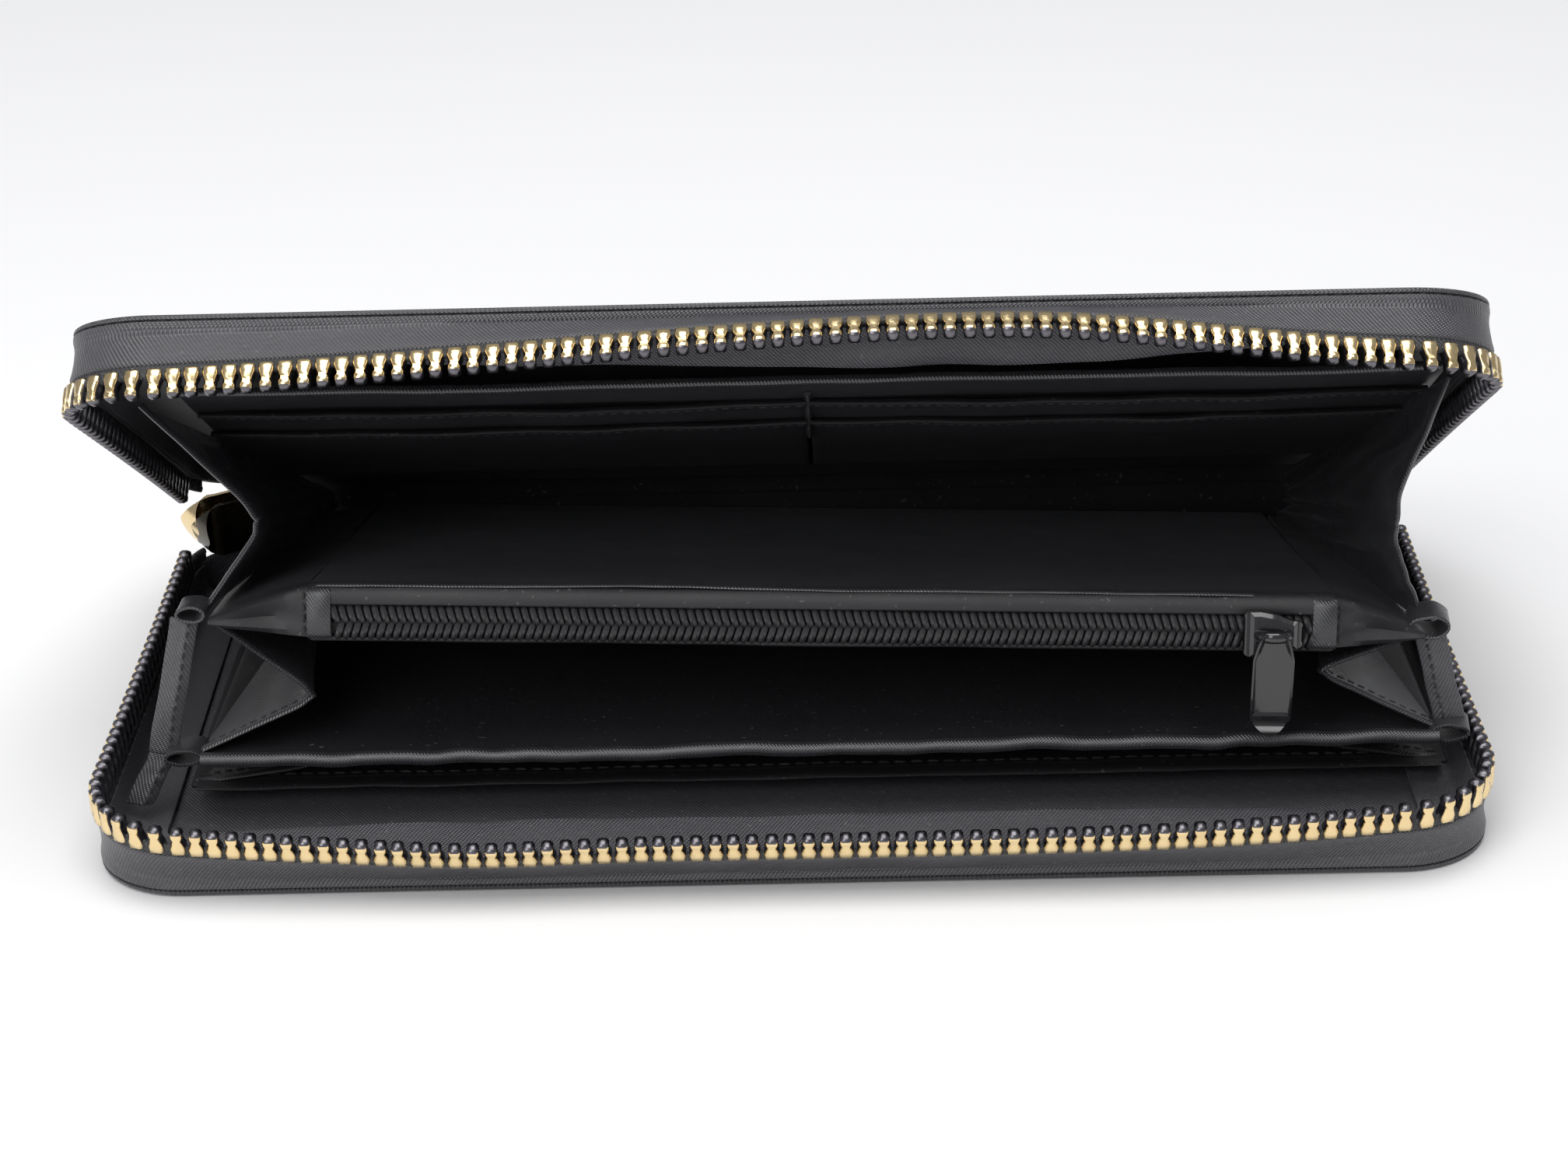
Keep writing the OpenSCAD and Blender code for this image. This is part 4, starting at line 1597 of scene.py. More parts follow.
    def coil(self, side: int) -> Piece:
        """A row of the nylon coil: one slanted loop modelled and copied along the zip.

        Args:
            side: 1 for the upper row, -1 for the lower.

        Returns:
            The row.
        """
        path = [
            (-0.10, 0.55, 2.02), (-0.02, -0.25, 2.10), (0.10, -0.78, 1.72), (0.34, -1.02, 1.05),
            (0.58, -0.92, 0.42), (0.72, -0.50, 0.02), (0.74, 0.15, 0.05)
        ]
        middle = [Vector((x, y, side * z)) for x, y, z in path]
        rings = []
        for i, spot in enumerate(middle):
            ahead = heading(middle, i).normalized()
            side_way = ahead.cross(Vector((1, 0, 0.001))).normalized()
            other = ahead.cross(side_way)
            thick = 0.46 if 0 < i < len(middle) - 1 else 0.34
            turns = [k * math.pi / 3 for k in range(6)]
            rings.append(
                [spot + (side_way * math.cos(t) + other * math.sin(t)) * thick for t in turns]
            )
        loop = swept("coil_loop", rings)
        count = int((self.zip_to - self.zip_from) / self.coil_pitch)
        places = []
        for i in range(count):
            x = self.zip_from + (i + (0.5 if side < 0 else 0.0)) * self.coil_pitch + 0.3
            wave = 0.12 * ripple(x / 17, 0, 40)
            base = FOLD.coin(x, self.depth + 0.35, wave)
            right = (FOLD.coin(x + 1, self.depth + 0.35, wave) - base).normalized()
            up = (FOLD.coin(x, self.depth + 0.35, wave + 1) - base).normalized()
            places.append(axes(right, up.cross(right), up, base))
        return scatter(f"coin_zip_coil_{self.row_word(side)}_loops", loop, places)

    def zip_tape(self, side: int) -> Piece:
        """The woven tape behind a row of coils."""

        def surface(u: float, v: float) -> Vector:
            x = self.zip_from - 1 + (self.zip_to - self.zip_from + 2) * u
            return FOLD.coin(
                x, self.depth + 0.1 - 0.5 * v, side * (0.15 + (3.6 if side > 0 else 2.1) * v)
            )

        return cloth(f"coin_zip_tape_{self.row_word(side)}_cloth", surface, 110, 4, 0.4)

    def edge_cord(self) -> Piece:
        """The thin folded edge that catches the light along the top of the zip's front."""
        path = []
        for k in range(121):
            x = self.body[0] + 1 + (self.body[1] - self.body[0] - 12) * k / 120
            lift = 0.18 * ripple(x / 15, 0, 23) + 0.35 * bump_at(x, -20, 14)
            path.append(FOLD.coin(x, self.depth + 0.2, self.half_tall + 0.18 + lift))
        return rolled("coin_pocket_edge_fold", path, 0.42, 0.20, 0.3, 4, 24)

    def build(self) -> None:
        """Builds the pocket and dresses it."""
        place = Place("coin_leaf")
        for side in (1, -1):
            word = self.row_word(side)
            wall = cloth(f"coin_pocket_{word}_cloth", self.wall(side), 150, 60, 0.7)
            declare(
                dress(wall, place, Finish.LINING, replaces=[f"coin_{word}_wall"]), "folded",
                "coin_leaf"
            )
            tape = dress(self.zip_tape(side), place, Finish.TAPE, replaces=[f"coin_tape_{word}"])
            declare(tape, "stretched", wall.name)
            dress(self.coil(side), place, Finish.NYLON, replaces=[f"coin_coil_{word}"])
        for side in (-1, 1):
            word = self.end_word(side)
            dress(self.end(side), place, Finish.LINING, replaces=[f"coin_end_{word}"])
            dress(self.end_block(side), place, Finish.SLEEK, replaces=[f"coin_stop_{word}"])
            x = self.body[0] - 0.7 if side < 0 else self.body[1] + 0.8
            line = [FOLD.coin(x, self.depth + 1.1, -2.0 + 6.4 * k / 12) for k in range(13)]
            out = FOLD.coin(x, self.depth + 2.1, 0) - FOLD.coin(x, self.depth + 1.1, 0)
            row = stitches(f"coin_end_stitches_{word}", line, out, 1.5, 1.1, 0.15)
            dress(row, place, Finish.TAPE)
        dress(self.edge_cord(), place, Finish.SLEEK)


@dataclass
class CardPanel:
    """The card panel: a backing sheet and two columns of slots that gape a little."""

    x0: float = -82.5
    x1: float = 90.5
    depth: float = 84.0
    seam_x: float = 3.5
    slots: tuple[float, float] = (73.0, 62.0)
    slot_back: float = 12.0
    layer_drop: float = 0.95
    seam_run: tuple[float, float] = (52.0, 78.0)

    def backing(self, u: float, v: float) -> Vector:
        """A point of the backing sheet."""
        depth = 1.8 + (self.depth - 1.8) * v
        x = taper(self.x0, self.x1, u, v)
        wave = 0.22 * ripple(
            x / 22, depth / 25, 50
        ) + 0.35 * ease((v - 0.85) / 0.15) * ripple(x / 16, 0, 51)
        return FOLD.point(3, x, depth, wave)

    def lip_gap(self, x: float, column: int, layer: int) -> float:
        """How far a slot's lip hangs open below the backing."""
        low, high = (self.x0 + 1, self.seam_x) if column == 0 else (self.seam_x, self.x1 - 1)
        share = (x - low) / (high - low)
        belly = math.sin(math.pi * clamp(share)) ** 0.7
        return self.layer_drop * (layer + 1) + (0.55 + 0.45 * ripple(x / 12, layer, 52)) * belly

    def slot(self, column: int, layer: int) -> Shape:
        """The shape of one slot's cloth, from the back to its lip."""
        low, high = (
            self.x0 + 1, self.seam_x - 0.3
        ) if column == 0 else (self.seam_x + 0.3, self.x1 - 1)
        front = self.slots[layer]

        def surface(u: float, v: float) -> Vector:
            x = low + (high - low) * u
            depth = self.slot_back + (front - self.slot_back) * v
            hang = self.lip_gap(x, column, layer) - self.layer_drop * (layer + 1)
            gape = 0.9 * (layer + 1) * min(1.0, 4 * v) + hang * ease((v - 0.45) / 0.55)
            return FOLD.point(3, x, depth + 0.4 * ripple(x / 18, layer, 53) * v, -0.15 - gape)

        return surface

    def lip(self, column: int, layer: int, back: float, drop: float) -> list[Vector]:
        """Points along a slot's lip."""
        surface = self.slot(column, layer)
        v = 1 - back / (self.slots[layer] - self.slot_back)
        below, origin = FOLD.point(3, 0, 0, -drop), FOLD.point(3, 0, 0, 0)
        return [surface(k / 80, v) + below - origin for k in range(81)]

    def build(self) -> None:
        """Builds the panel, its slots, their lips and the seam between the columns."""
        place = Place("card_leaf")
        backing = cloth("card_panel_cloth", self.backing, 150, 40, 0.8)
        declare(
            dress(backing, place, Finish.LINING, replaces=["card_panel"]), "stretched", "card_leaf"
        )
        front = [self.backing(k / 160, 1.0) for k in range(161)]
        dress(rolled("card_panel_front_fold", front, 0.9, 0.62, 0.12, 6, 54), place, Finish.SLEEK)
        down = FOLD.point(3, 0, 0, -1) - FOLD.point(3, 0, 0, 0)
        for column, word in ((0, "left"), (1, "right")):
            for layer in (0, 1):
                panel = cloth(
                    f"card_slot_{word}_{layer + 1}", self.slot(column, layer), 80, 26, 0.45
                )
                dress(
                    panel, place, Finish.LINING,
                    replaces=[f"card_slots_{word}"] if layer == 0 else []
                )
                declare(panel, "stretched", "card_panel_cloth")
                lip = self.lip(column, layer, 0, 0)
                rim = rolled(f"card_slot_lip_{word}_{layer + 1}", lip, 0.75, 0.40)
                dress(rim, place, Finish.LINING)
                row = self.lip(column, layer, 1.3, 0.24)
                thread = stitches(
                    f"card_slot_stitches_{word}_{layer + 1}", row, down, 1.7, 1.2, 0.13
                )
                dress(thread, place, Finish.THREAD)
        seam = []
        near, far = self.seam_run
        for k in range(60):
            depth = near + (far - near) * k / 59
            layers = sum(depth < slot for slot in self.slots)
            seam.append(FOLD.point(3, self.seam_x, depth, -0.75 - 0.8 * layers))
        tape = rolled("card_seam_tape", seam, 0.5, 0.2)
        dress(tape, place, Finish.LINING, replaces=["card_seam"])
        row = [p + down * 0.32 for p in seam]
        thread = stitches("card_seam_stitches", row, down, 1.9, 1.4, 0.15)
        dress(thread, place, Finish.THREAD)


# ---------------------------------------------------------------- gussets and spine


@dataclass
class Gusset:
    """A strip of thin cloth folded inwards between two leaves, hemmed at its mouth end."""

    name: str
    node: str
    below: int
    low: tuple[float, float]
    high: tuple[float, float]
    apex: float
    apex_height: float
    low_z: float
    high_z: float
    mouth: float = 82.0
    back: float = 1.2
    crease: float = 0.6
    seed: float = 0.0

    def edge(self, upper: bool, share: float) -> Vector:
        """A point of the strip's lower or upper edge, share 0 at the mouth and 1 at the spine."""
        leaf = self.below + 1 if upper else self.below
        x_front, x_back = self.high if upper else self.low
        x = x_front + (x_back - x_front) * share
        depth = self.mouth + (self.back - self.mouth) * share
        z = self.high_z if upper else self.low_z
        if leaf == 0:
            return FOLD.point(0, x, depth, COVER_T + 0.8 + z * (1 - share))
        if leaf == 2:
            return FOLD.coin(x, depth, z * (1 - 0.7 * share))
        return FOLD.point(leaf, x, depth, z)

    def surface(self, u: float, v: float) -> Vector:
        """A point of the strip, u from lower edge over the fold to upper, v from mouth to spine."""
        low, high = self.edge(False, v), self.edge(True, v)
        middle = low.lerp(high, self.apex_height)
        middle.x += (self.apex - middle.x) * (1 - 0.75 * v)
        arm = (u / 0.5) if u < 0.5 else (1 - u) / 0.5
        base = (low if u < 0.5 else high).lerp(middle, arm)
        rounding = 1.1 * bump_at(u, 0.5, 0.06)
        base.x += math.copysign(rounding, self.apex) * (1 - 0.5 * v)
        fade = math.sin(math.pi * clamp(arm)) * (1 - 0.4 * v)
        folds = ripple(u * 5, v * 2.2, self.seed) + 0.6 * ripple(
            u * 11 + v * 6, v * 3, self.seed + 1
        )
        fade *= 0.2 + 0.8 * ease(v / 0.10)
        base.x += self.crease * folds * fade * 1.4
        base.y += 0.5 * self.crease * ripple(u * 6, v * 3, self.seed + 2) * fade
        base.z += 0.6 * self.crease * ripple(u * 7 + 3, v * 4, self.seed + 3) * fade
        return base

    def build(self) -> None:
        """Builds the strip, its rolled hem and the hem's stitches."""
        place = Place(below=self.below)
        strip = cloth(self.name, self.surface, 56, 44, 0.4)
        dress(strip, place, Finish.SLEEK, replaces=[self.node])
        declare(strip, "folded", BODIES[self.below], BODIES[self.below + 1], shaped=True)
        front = [self.surface(k / 60, 0.0) for k in range(61)]
        hem = swept(f"{self.name}_hem", hem_rings(front, Vector((0, 1, 0)), 0.42, 0.85))
        dress(hem, place, Finish.SLEEK)
        ways = [1 if k < 30 else -1 for k in range(61)]
        row = [
            self.surface(k / 60, 0.03) + Vector((0, -0.1, 0.28 * way)) for k, way in enumerate(ways)
        ]
        out = [Vector((0, -0.6, way)) for way in ways]
        dress(stitches(f"{self.name}_stitches", row, out, 1.6, 1.1, 0.12), place, Finish.THREAD)


def hem_rings(
    path: Sequence[Vector], inward: Vector, thick: float, deep: float
) -> list[list[Vector]]:
    """Rings of a flat rolled hem whose depth runs inwards from its edge."""
    rings = []
    for i, place in enumerate(path):
        ahead = heading(path, i).normalized()
        deep_way = (inward - ahead * inward.dot(ahead)).normalized()
        flat_way = ahead.cross(deep_way)
        rings.append(
            [place + deep_way * (deep * (a + 0.6)) + flat_way * (thick * b) for a, b in ROUND]
        )
    return rings


@dataclass
class Ribbon:
    """A binding ribbon along the outer fold of the gussets, from one leaf down to the next."""

    name: str
    below: int
    start: Vector
    finish: Vector
    width: float
    depth_run: float = 14.0
    seed: float = 0.0

    def surface(self, u: float, v: float) -> Vector:
        """A point of the ribbon, u across it and v down it."""
        spot = self.start.lerp(self.finish, v)
        side = 1 if self.start.x > 0 else -1
        spot.x += side * (u - 0.5) * self.width + 0.25 * ripple(v * 3, u, self.seed)
        spot.y += self.depth_run * abs(u - 0.35) * 0.12 + 0.3 * ripple(v * 4, u * 2, self.seed + 1)
        return spot

    def build(self) -> None:
        """Builds the ribbon and the stitches along its middle."""
        place = Place(below=self.below)
        strip = cloth(self.name, self.surface, 10, 28, 0.5)
        # The ribbon takes the lighter copy of the lining satin as a painted sheen.
        dress(strip, place, Finish.LIT_LINING)
        row = [self.surface(0.30, k / 30) + Vector((0, -0.35, 0.1)) for k in range(31)]
        thread = stitches(f"{self.name}_stitches", row, Vector((0, -1, 0.3)), 1.5, 1.0, 0.14)
        dress(thread, place, Finish.TAPE)


def gussets() -> list[Gusset]:
    """The six gussets, from the bottom up."""
    return [
        Gusset(
            "gusset_cloth_bottom_left", "gusset_bottom_left", 0, (-84.0, -74.0), (-82.5, -74.0),
            -66.0, 0.45, 2.6, -0.9, 77.0, seed=60
        ),
        Gusset(
            "gusset_cloth_bottom_right", "gusset_bottom_right", 0, (91.0, 80.0), (88.5, 79.0), 74.0,
            0.45, 2.6, -0.9, 77.0, seed=64
        ),
        Gusset(
            "gusset_cloth_lower_left", "gusset_lower_left", 1, (-81.5, -72.0), (-79.0, -71.0),
            -64.5, 0.40, 0.8, -0.9, 83.0, seed=68
        ),
        Gusset(
            "gusset_cloth_lower_right", "gusset_lower_right", 1, (89.0, 79.0), (86.5, 78.0), 72.0,
            0.62, 0.8, -0.9, 83.0, seed=72
        ),
        Gusset(
            "gusset_cloth_upper_left", "gusset_upper_left", 2, (-79.5, -72.0), (-88.0, -73.0),
            -71.2, 0.42, 0.9, -1.2, 82.0, seed=76
        ),
        Gusset(
            "gusset_cloth_upper_right", "gusset_upper_right", 2, (87.0, 77.0), (91.0, 78.0), 82.6,
            0.40, 0.9, -1.2, 82.0, crease=2.0, seed=80
        ),
    ]


def ribbons() -> list[Ribbon]:
    """The binding ribbons at the outer folds."""
    return [
        Ribbon(
            "ribbon_coin_to_divider_left", 1, FOLD.coin(-82.6, 84, -0.6),
            FOLD.point(1, -87.2, 82, 0.0), 4.0, seed=90
        ),
        Ribbon(
            "ribbon_divider_to_cover_left", 0, FOLD.point(1, -87.2, 82, 0.0),
            FOLD.point(0, -91.0, 83, 5.4), 4.0, seed=92
        ),
        Ribbon(
            "ribbon_coin_to_divider_right", 1, FOLD.coin(88.0, 84, -0.6),
            FOLD.point(1, 91.6, 82, 0.0), 4.4, seed=94
        ),
    ]


@dataclass
class FoldEnd:
    """The small flat loop of cloth where a gusset's outer fold turns over the end of a leaf."""

    name: str
    body: str
    centre: Vector
    length: float
    deep: float
    tall: float
    seed: float

    def build(self) -> None:
        """Builds the loop, which is open towards the mouth."""
        loop = []
        for k in range(29):
            across, up = math.cos(2 * math.pi * k / 28), math.sin(2 * math.pi * k / 28)
            bulge = 1 + 0.25 * ripple(across, up, self.seed)
            loop.append(
                self.centre + Vector((0.5 * self.length * across, 0, self.tall * up * bulge))
            )

        def surface(u: float, v: float) -> Vector:
            wave = 0.35 * v * ripple(u * 5, v, self.seed + 1)
            return between(loop, u) + Vector((0.4 * v, self.deep * v, wave))

        dress(cloth(self.name, surface, 56, 8, 0.45), Place(self.body), Finish.SLEEK)


def fold_ends() -> list[FoldEnd]:
    """The loops beside the coin pocket and the divider."""
    return [
        FoldEnd("fold_end_coin_left", "coin_leaf", FOLD.coin(-81.6, 85, 0.2), 3.8, 4.16, 1.1, 100),
        FoldEnd("fold_end_coin_right", "coin_leaf", FOLD.coin(87.6, 85.5, 0.4), 5.4, 5.2, 1.6, 102),
        FoldEnd(
            "fold_end_divider_left", "divider_leaf", FOLD.point(1, -84.0, 84.5, 0.2), 5.0, 4.68,
            1.0, 104
        ),
        FoldEnd(
            "fold_end_divider_right", "divider_leaf", FOLD.point(1, 91.0, 84.5, 0.2), 5.2, 4.68,
            1.2, 106
        ),
    ]


@dataclass
class Spine:
    """The strip of twill round the spine. It bends at the four hinge lines."""

    half_length: float = 86.0
    bulge: float = 0.75
    thick: float = 0.9
    ribs: tuple[str, ...] = ("spine_foot", "spine_rib_divider", "spine_rib_coin", "spine_rib_card")

    def middle(self, rib: int, share: float) -> Vector:
        """A point of the spine's cross-section on a rib, by its share of the rib's height."""
        if rib == 4:
            return FOLD.point(4, 0, 0.2, UPPER_CLEAR + 1.6 * share)
        low = 1.0 if rib == 0 else 0.0
        tall = FOLD.heights[rib + 1] - FOLD.heights[rib]
        return FOLD.point(rib, 0, 0, low + (tall - low) * share)

    def section(self, hinge: int) -> list[Vector]:
        """The cross-section from the middle of the rib below a hinge to that of the rib above."""
        under = (0.0, 0.3, 0.55, 0.8) if hinge == 1 else (0.5, 0.65, 0.8, 0.92)
        over = (0.0, 0.3, 0.7, 1.0) if hinge == 4 else (0.08, 0.2, 0.35, 0.5)
        return [self.middle(hinge - 1, s) for s in under] + [self.middle(hinge, s) for s in over]

    def strip(self, hinge: int) -> Piece:
        """The part of the spine that bends at one hinge line."""
        line = self.section(hinge)

        def surface(u: float, v: float) -> Vector:
            x = -self.half_length + 2 * self.half_length * u
            spot = between(line, v)
            return Vector((x, spot.y + self.bulge + 0.05 * ripple(x / 30, 0, 110), spot.z))

        return cloth(f"spine_twill_{hinge}", surface, 60, 14, self.thick, edge=0.08)

    def build(self) -> None:
        """Builds the four strips, which meet in the middle of the ribs."""
        for hinge in range(1, 5):
            raw = self.strip(hinge)
            for face in raw.data.polygons:
                face.material_index = 1 if face.normal.y < 0 else 0
            strip = dress(
                raw, Place(below=hinge - 1), Finish.OUTER, Finish.INSIDE,
                replaces=[self.ribs[hinge - 1]]
            )
            near = self.middle(hinge - 1, 0.5 if hinge > 1 else 0.0).z
            far = self.middle(hinge, 0.5 if hinge < 4 else 1.0).z
            shares = [ease((v.co.z / MM - near) / (far - near)) for v in strip.data.vertices]
            declare(strip, "stretched", BODIES[hinge - 1], BODIES[hinge])


# ---------------------------------------------------------------- sliders


@dataclass
class MainSlider:
    """The main zip's slider at the left end of the spine, with its gold pull behind it."""

    turn: float = 122.0
    centre: tuple[float, float, float] = (-84.0, 38.0, 12.45)
    radius: float = 10.6
    length: float = 10.5
    width: float = 8.6
    gap: float = 3.2
    plate: float = 1.0
    pin_x: float = 4.3
    pull_turn: float = -10.0
    pull_size: tuple[float, float, float] = (26.0, 3.6, 1.2)

    def frame(self) -> Matrix:
        """The matrix from the slider's own frame, X out and Y along the chain, to the wallet's."""
        turn = Matrix.Rotation(math.radians(self.turn), 4, "Z")
        out = Matrix.Translation((self.radius * MM, 0, 0))
        return Matrix.Translation(Vector(self.centre) * MM) @ turn @ out

    def face(self, name: str, side: int) -> Piece:
        """A plate: a rounded shield with a raised rim and softened edges.

        Args:
            name: the plate's name.
            side: 1 for the outer plate, -1 for the inner.

        Returns:
            The plate.
        """
        obj = block(
            name, (self.plate, self.length, self.width), (side * (self.gap + self.plate) / 2, 0, 0)
        )
        round_edges(obj, 0, 4.1, 10, lambda v: v.co.y > 0)
        round_edges(obj, 0, 1.2, 4, lambda v: v.co.y < (-self.length / 2 + 0.01) * MM)
        select_where(obj, "FACE", lambda f: abs(f.normal.x) > 0.99)
        inset(0.35)
        inset(0.45, -0.12)
        return end_edit(obj)

    def post(self) -> Piece:
        """The post that joins the plates, the ears and the pin of the pull."""
        obj = block("post", (self.gap + self.plate, 2.0, 1.6), (0, self.length / 2 - 1.6, 0))
        round_edges(obj, 0, 0.5, 3)
        parts = [end_edit(obj)]
        for side in (-1, 1):
            ear = block("ear", (3.4, 2.2, 1.0), (self.pin_x - 0.9, 0, side * 2.6))
            round_edges(ear, 2, 0.9, 5, lambda v: v.co.x > self.pin_x * MM)
            parts.append(end_edit(ear))
        add = bpy.ops.mesh.primitive_cylinder_add
        pin = primitive(
            add, vertices=20, radius=0.6 * MM, depth=5.9 * MM, location=(self.pin_x * MM, 0, 0)
        )
        select_where(pin, "FACE", lambda f: abs(f.normal.z) > 0.9)
        inset(0.2, 0.12)
        bpy.ops.object.mode_set(mode="OBJECT")
        pin.data.transform(pin.matrix_world)
        pin.matrix_world = Matrix.Identity(4)
        soften(pin)
        parts.append(pin)
        return merge("main_slider_post", parts)

    def pull(self) -> Piece:
        """The pull: a slim gold tongue with an eye, round at its end and hollow along its face."""
        long, wide, thick = self.pull_size
        obj = block(
            "main_pull_tongue", (thick, long - wide / 2, wide),
            (0, 1.6 - long / 2 + wide / 4 - 1.2, 0)
        )
        round_edges(obj, 0, 1.7, 8, lambda v: v.co.y < -long * 0.6 * MM)
        select_where(obj, "FACE", lambda f: abs(f.normal.x) > 0.99)
        inset(0.6)
        inset(0.25, -0.22)
        tongue = end_edit(obj)
        add = bpy.ops.mesh.primitive_torus_add
        eye = primitive(
            add, major_radius=1.05 * MM, minor_radius=0.38 * MM, major_segments=24,
            minor_segments=10
        )
        stretch(1, 1, wide)
        bpy.ops.object.mode_set(mode="OBJECT")
        soften(eye)
        pull = merge("main_pull_tab_gold", [tongue, eye])
        turn = Matrix.Rotation(math.radians(self.pull_turn), 4, "Z")
        pull.data.transform(Matrix.Translation((self.pin_x * MM, 0, 0)) @ turn)
        return pull

    def build(self) -> None:
        """Builds the slider and its pull."""
        place = Place("main_slider")
        outer = self.face("main_slider_outer_plate", 1)
        inner = self.face("main_slider_inner_plate", -1)
        post, pull = self.post(), self.pull()
        for obj in (outer, inner, post, pull):
            obj.data.transform(self.frame())
        dress(outer, place, Finish.GOLD, replaces=["zip_slider_body"])
        # The inner plate takes the darker copy of the gold as painted shade.
        dress(inner, place, Finish.SLIDER_SHADE)
        dress(post, place, Finish.GOLD)
        dress(pull, Place("main_pull"), Finish.GOLD, replaces=["zip_pull"])


@dataclass
class CoinSlider:
    """The coin zip's black slider with its bail and the glossy pull that hangs from it."""

    x: float = 66.0
    face_depth: float = 87.9
    length: float = 8.2
    width: float = 6.2
    thick: float = 1.1
    pin_depth: float = 90.8
    pull_long: float = 14.0
    pull_wide: float = 5.6

    def frame(self) -> Matrix:
        """The matrix from the slider's frame, X along the zip and Y inwards, to the wallet's."""
        base = FOLD.coin(self.x, 0, 0)
        right = (FOLD.coin(self.x + 1, 0, 0) - base).normalized()
        into = (base - FOLD.coin(self.x, 1, 0)).normalized()
        return axes(right, into, right.cross(into), base)

    def plate(self) -> Piece:
        """The slider's face: wide shoulders in front, a narrow tail, and a raised middle."""
        obj = block(
            "coin_slider_face", (self.length, self.thick, self.width),
            (0, -self.face_depth - self.thick / 2, 0)
        )
        slice_at(obj, 0, (-1.8, 0.6, 2.6))
        for place, wide in (
            (-self.length / 2, 0.98), (-1.8, 1.0), (0.6, 0.86), (2.6, 0.62), (self.length / 2, 0.58)
        ):
            stretch_at(obj, 0, place, 1, 1, wide)
        round_edges(obj, 1, 0.9, 5, lambda v: abs(abs(v.co.x) - self.length / 2 * MM) < TOUCH)
        select_where(obj, "FACE", lambda f: f.normal.y < -0.99)
        inset(0.5, 0.45)
        return end_edit(obj, 30)

    def bail(self) -> Piece:
        """The round bridge on the slider that the pull hangs from."""
        add = bpy.ops.mesh.primitive_torus_add
        obj = primitive(
            add, major_radius=2.1 * MM, minor_radius=0.75 * MM, major_segments=32, minor_segments=12
        )
        stretch(0.98, 0.9, 1.15)
        shift(0, -(self.face_depth + self.thick + 0.1), 0)
        base = (0, -(self.face_depth + 0.4) * MM, 0)
        bpy.ops.mesh.bisect(plane_co=base, plane_no=(0, 1, 0), clear_outer=True, use_fill=True)
        return end_edit(obj)

    def pull(self) -> Piece:
        """The pull: a flat enamelled tab, narrow at its top, with a raised rim round each face."""
        long, wide, thick = self.pull_long, self.pull_wide, 1.0
        obj = block("coin_pull_enamel", (wide, thick, long + 0.6), (0, 0, 0.6 - (long + 0.6) / 2))
        slice_at(obj, 2, (-1.4, -3.2))
        for height, share in ((0.6, 0.60), (-1.4, 0.84), (-3.2, 1.0)):
            stretch_at(obj, 2, height, share, 1, 1)
        round_edges(obj, 1, 2.6, 10, lambda v: v.co.z < -long * 0.6 * MM)
        for way in (-1, 1):
            select_where(obj, "FACE", lambda f: f.normal.y * way > 0.99)
            inset(0.25, 0.12)
            inset(0.45, -0.26)
        return end_edit(obj, 30)

    def build(self) -> None:
        """Builds the slider and the pull, which hangs straight down."""
        place = Place("coin_slider")
        plate, bail, pull = self.plate(), self.bail(), self.pull()
        hang = Matrix.Rotation(math.radians(FOLD.angles[2]), 4, "X")
        pull.data.transform(Matrix.Translation((0, -self.pin_depth * MM, 0)) @ hang)
        for obj in (plate, bail, pull):
            obj.data.transform(self.frame())
        dress(plate, place, Finish.ENAMEL, replaces=["coin_slider_body"])
        dress(bail, place, Finish.ENAMEL)
        dress(pull, Place("coin_pull_tab"), Finish.ENAMEL, replaces=["coin_pull"])


# ---------------------------------------------------------------- the scene round the wallet


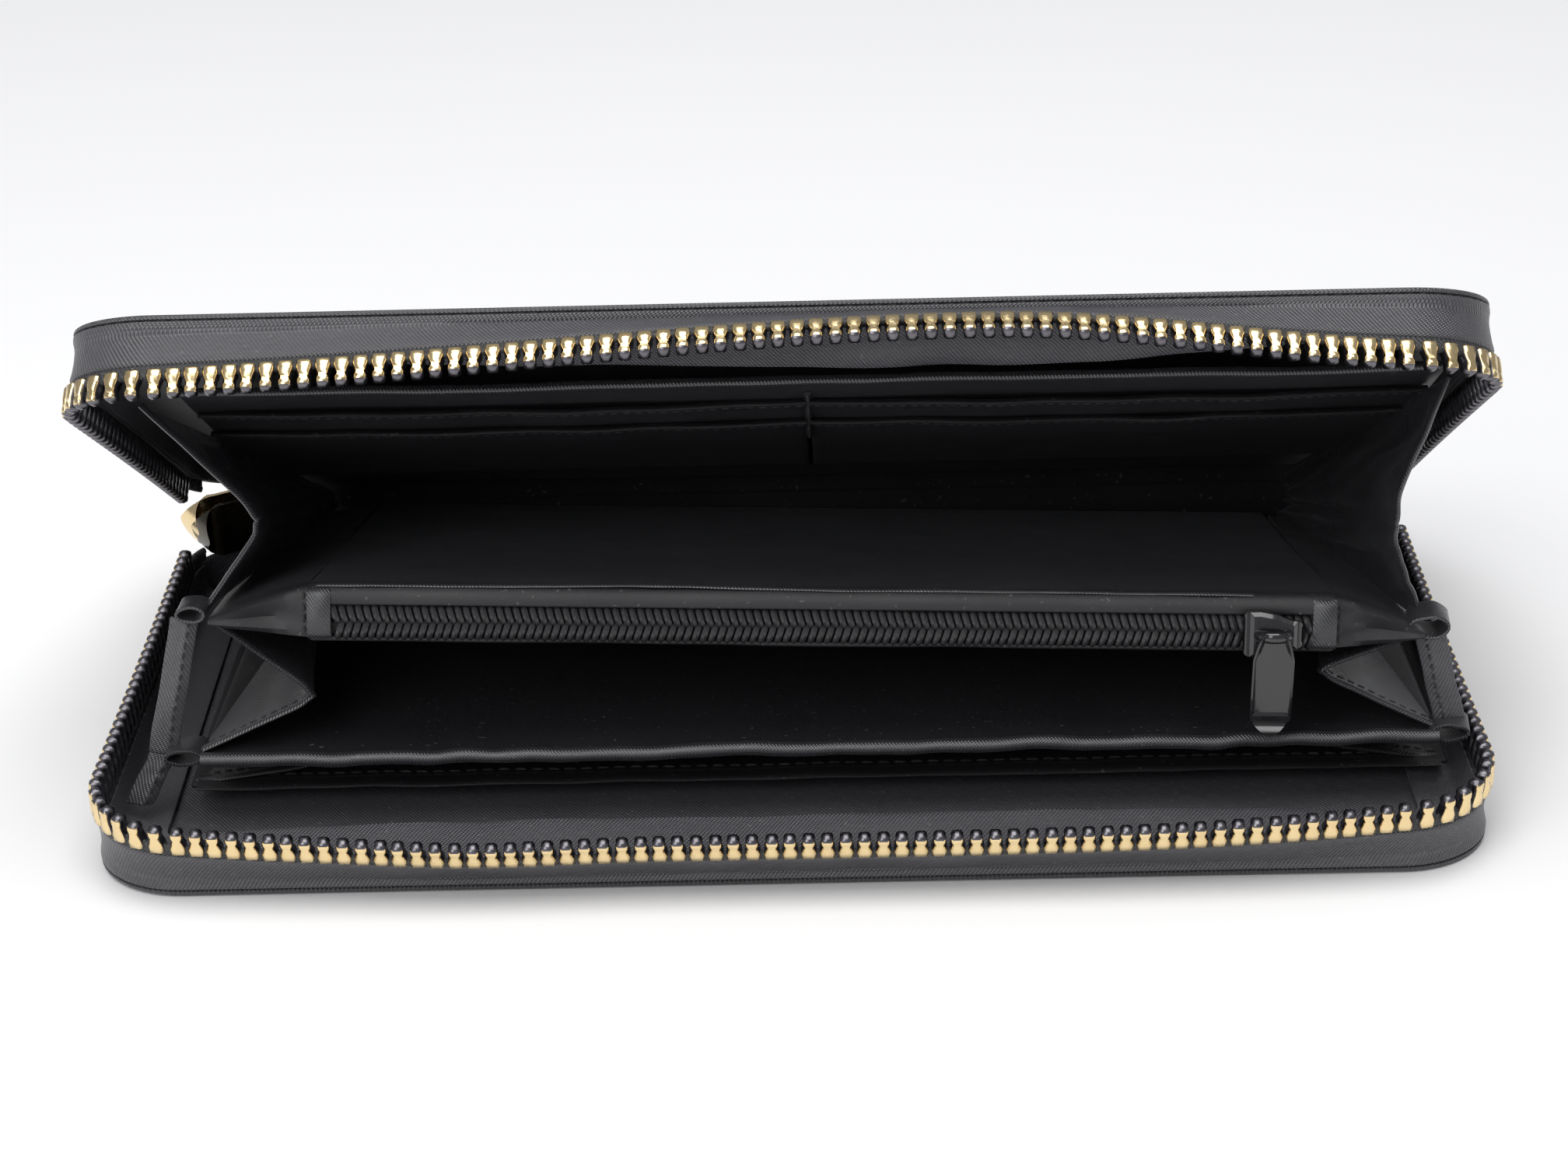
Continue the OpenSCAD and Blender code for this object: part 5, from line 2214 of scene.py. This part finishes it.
@dataclass
class Studio:
    """The pale floor, the soft lights and the camera."""

    target: tuple[float, float, float] = (-0.39, -20.0, 30.44)
    distance: float = 521.0
    elevation: float = 25.2
    azimuth: float = -0.94
    roll: float = -1.6
    lens: float = 85.6

    def camera(self) -> None:
        """Sets the camera at the mouth of the wallet, a little above it."""
        up_turn, side_turn, roll = (
            math.radians(a) for a in (self.elevation, self.azimuth, self.roll)
        )
        level = math.cos(up_turn)
        ahead = Vector(
            (math.sin(side_turn) * level, math.cos(side_turn) * level, -math.sin(up_turn))
        )
        flat = ahead.cross(UP).normalized()
        steep = flat.cross(ahead)
        right = flat * math.cos(roll) + steep * math.sin(roll)
        up = steep * math.cos(roll) - flat * math.sin(roll)
        data = bpy.data.cameras.new("camera")
        data.lens, data.sensor_width, data.clip_start = self.lens, 36.0, 0.01
        eye = added("camera", data)
        eye.matrix_world = axes(right, up, -ahead, Vector(self.target) - ahead * self.distance)
        bpy.context.scene.camera = eye

    def floor(self) -> None:
        """Lays the plain pale floor."""
        bpy.ops.object.select_all(action="DESELECT")
        bpy.ops.mesh.primitive_plane_add(size=14, location=(0, 0, -0.0002))
        ground = bpy.context.object
        ground.name = "floor"
        material, graph, shader = new_material("Pale floor")
        solid = graph.node("ShaderNodeTexCoord").outputs["Object"]
        tone = graph.blend(graph.grain(solid, 3.0), (0.86, 0.86, 0.87, 1), (0.90, 0.90, 0.90, 1))
        graph.feed(shader.inputs["Base Color"], tone)
        shader.inputs["Roughness"].default_value = 0.75
        ground.data.materials.append(material)

    def light(self, name: str, place: Sequence[float], size: float, power: float) -> None:
        """Adds a soft square light that faces the wallet.

        Args:
            name: the light's name.
            place: where it hangs, in metres.
            size: its side, in metres.
            power: its power, in watts.
        """
        data = bpy.data.lights.new(name, "AREA")
        data.size, data.energy = size, power
        lamp = added(name, data)
        lamp.location = place
        ahead = Vector((0, 0, 0.03)) - Vector(place)
        lamp.rotation_euler = ahead.to_track_quat("-Z", "Y").to_euler()

    def build(self) -> None:
        """Sets up the whole studio."""
        self.camera()
        self.floor()
        world = bpy.data.worlds.new("studio")
        world.use_nodes = True
        sky = world.node_tree.nodes["Background"]
        sky.inputs[0].default_value, sky.inputs[1].default_value = (0.96, 0.97, 1.0, 1), 0.32
        bpy.context.scene.world = world
        bpy.context.scene.view_settings.view_transform = "Standard"
        self.light("overhead", (0.0, -0.10, 1.1), 1.0, 11.0)
        self.light("front", (-0.55, -0.95, 0.8), 0.8, 7.0)


def end_stop() -> None:
    """Builds the stop that joins the two chains at the right end of the spine."""
    obj = block("main_zip_end_stop", (3.0, 4.0, 3.6))
    select_where(obj, "EDGE", lambda e: True)
    bevel(0.5, 3)
    select_where(obj, "FACE", lambda f: f.normal.x > 0.99)
    inset(0.4, -0.2)
    obj = end_edit(obj)
    low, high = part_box("zip_end_stop")
    centre = (Vector(low) + Vector(high)) / 2
    obj.data.transform(Matrix.Translation(centre) @ Matrix.Rotation(math.radians(50), 4, "Z"))
    dress(obj, Place("lower_cover"), Finish.GOLD, replaces=["zip_end_stop"])


def boards() -> None:
    """Gives the sealed boards, whose CAD shape is right, their own finish."""
    for node in ("lower_board", "upper_board"):
        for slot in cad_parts[node].material_slots:
            slot.material = Finish.BOARD.material


def main() -> None:
    """Builds the wallet and its studio."""
    logging.basicConfig(level=logging.INFO, format="%(name)s %(message)s")
    Studio().build()
    for half in Half:
        Cover(half).build()
        ZipHalf(half).build()
    SlipPocket().build()
    Divider().build()
    CoinPocket().build()
    CardPanel().build()
    for piece in (*gussets(), *ribbons(), *fold_ends()):
        piece.build()
    Spine().build()
    MainSlider().build()
    CoinSlider().build()
    end_stop()
    boards()
    bpy.context.view_layer.update()


if __name__ == "__main__":
    main()
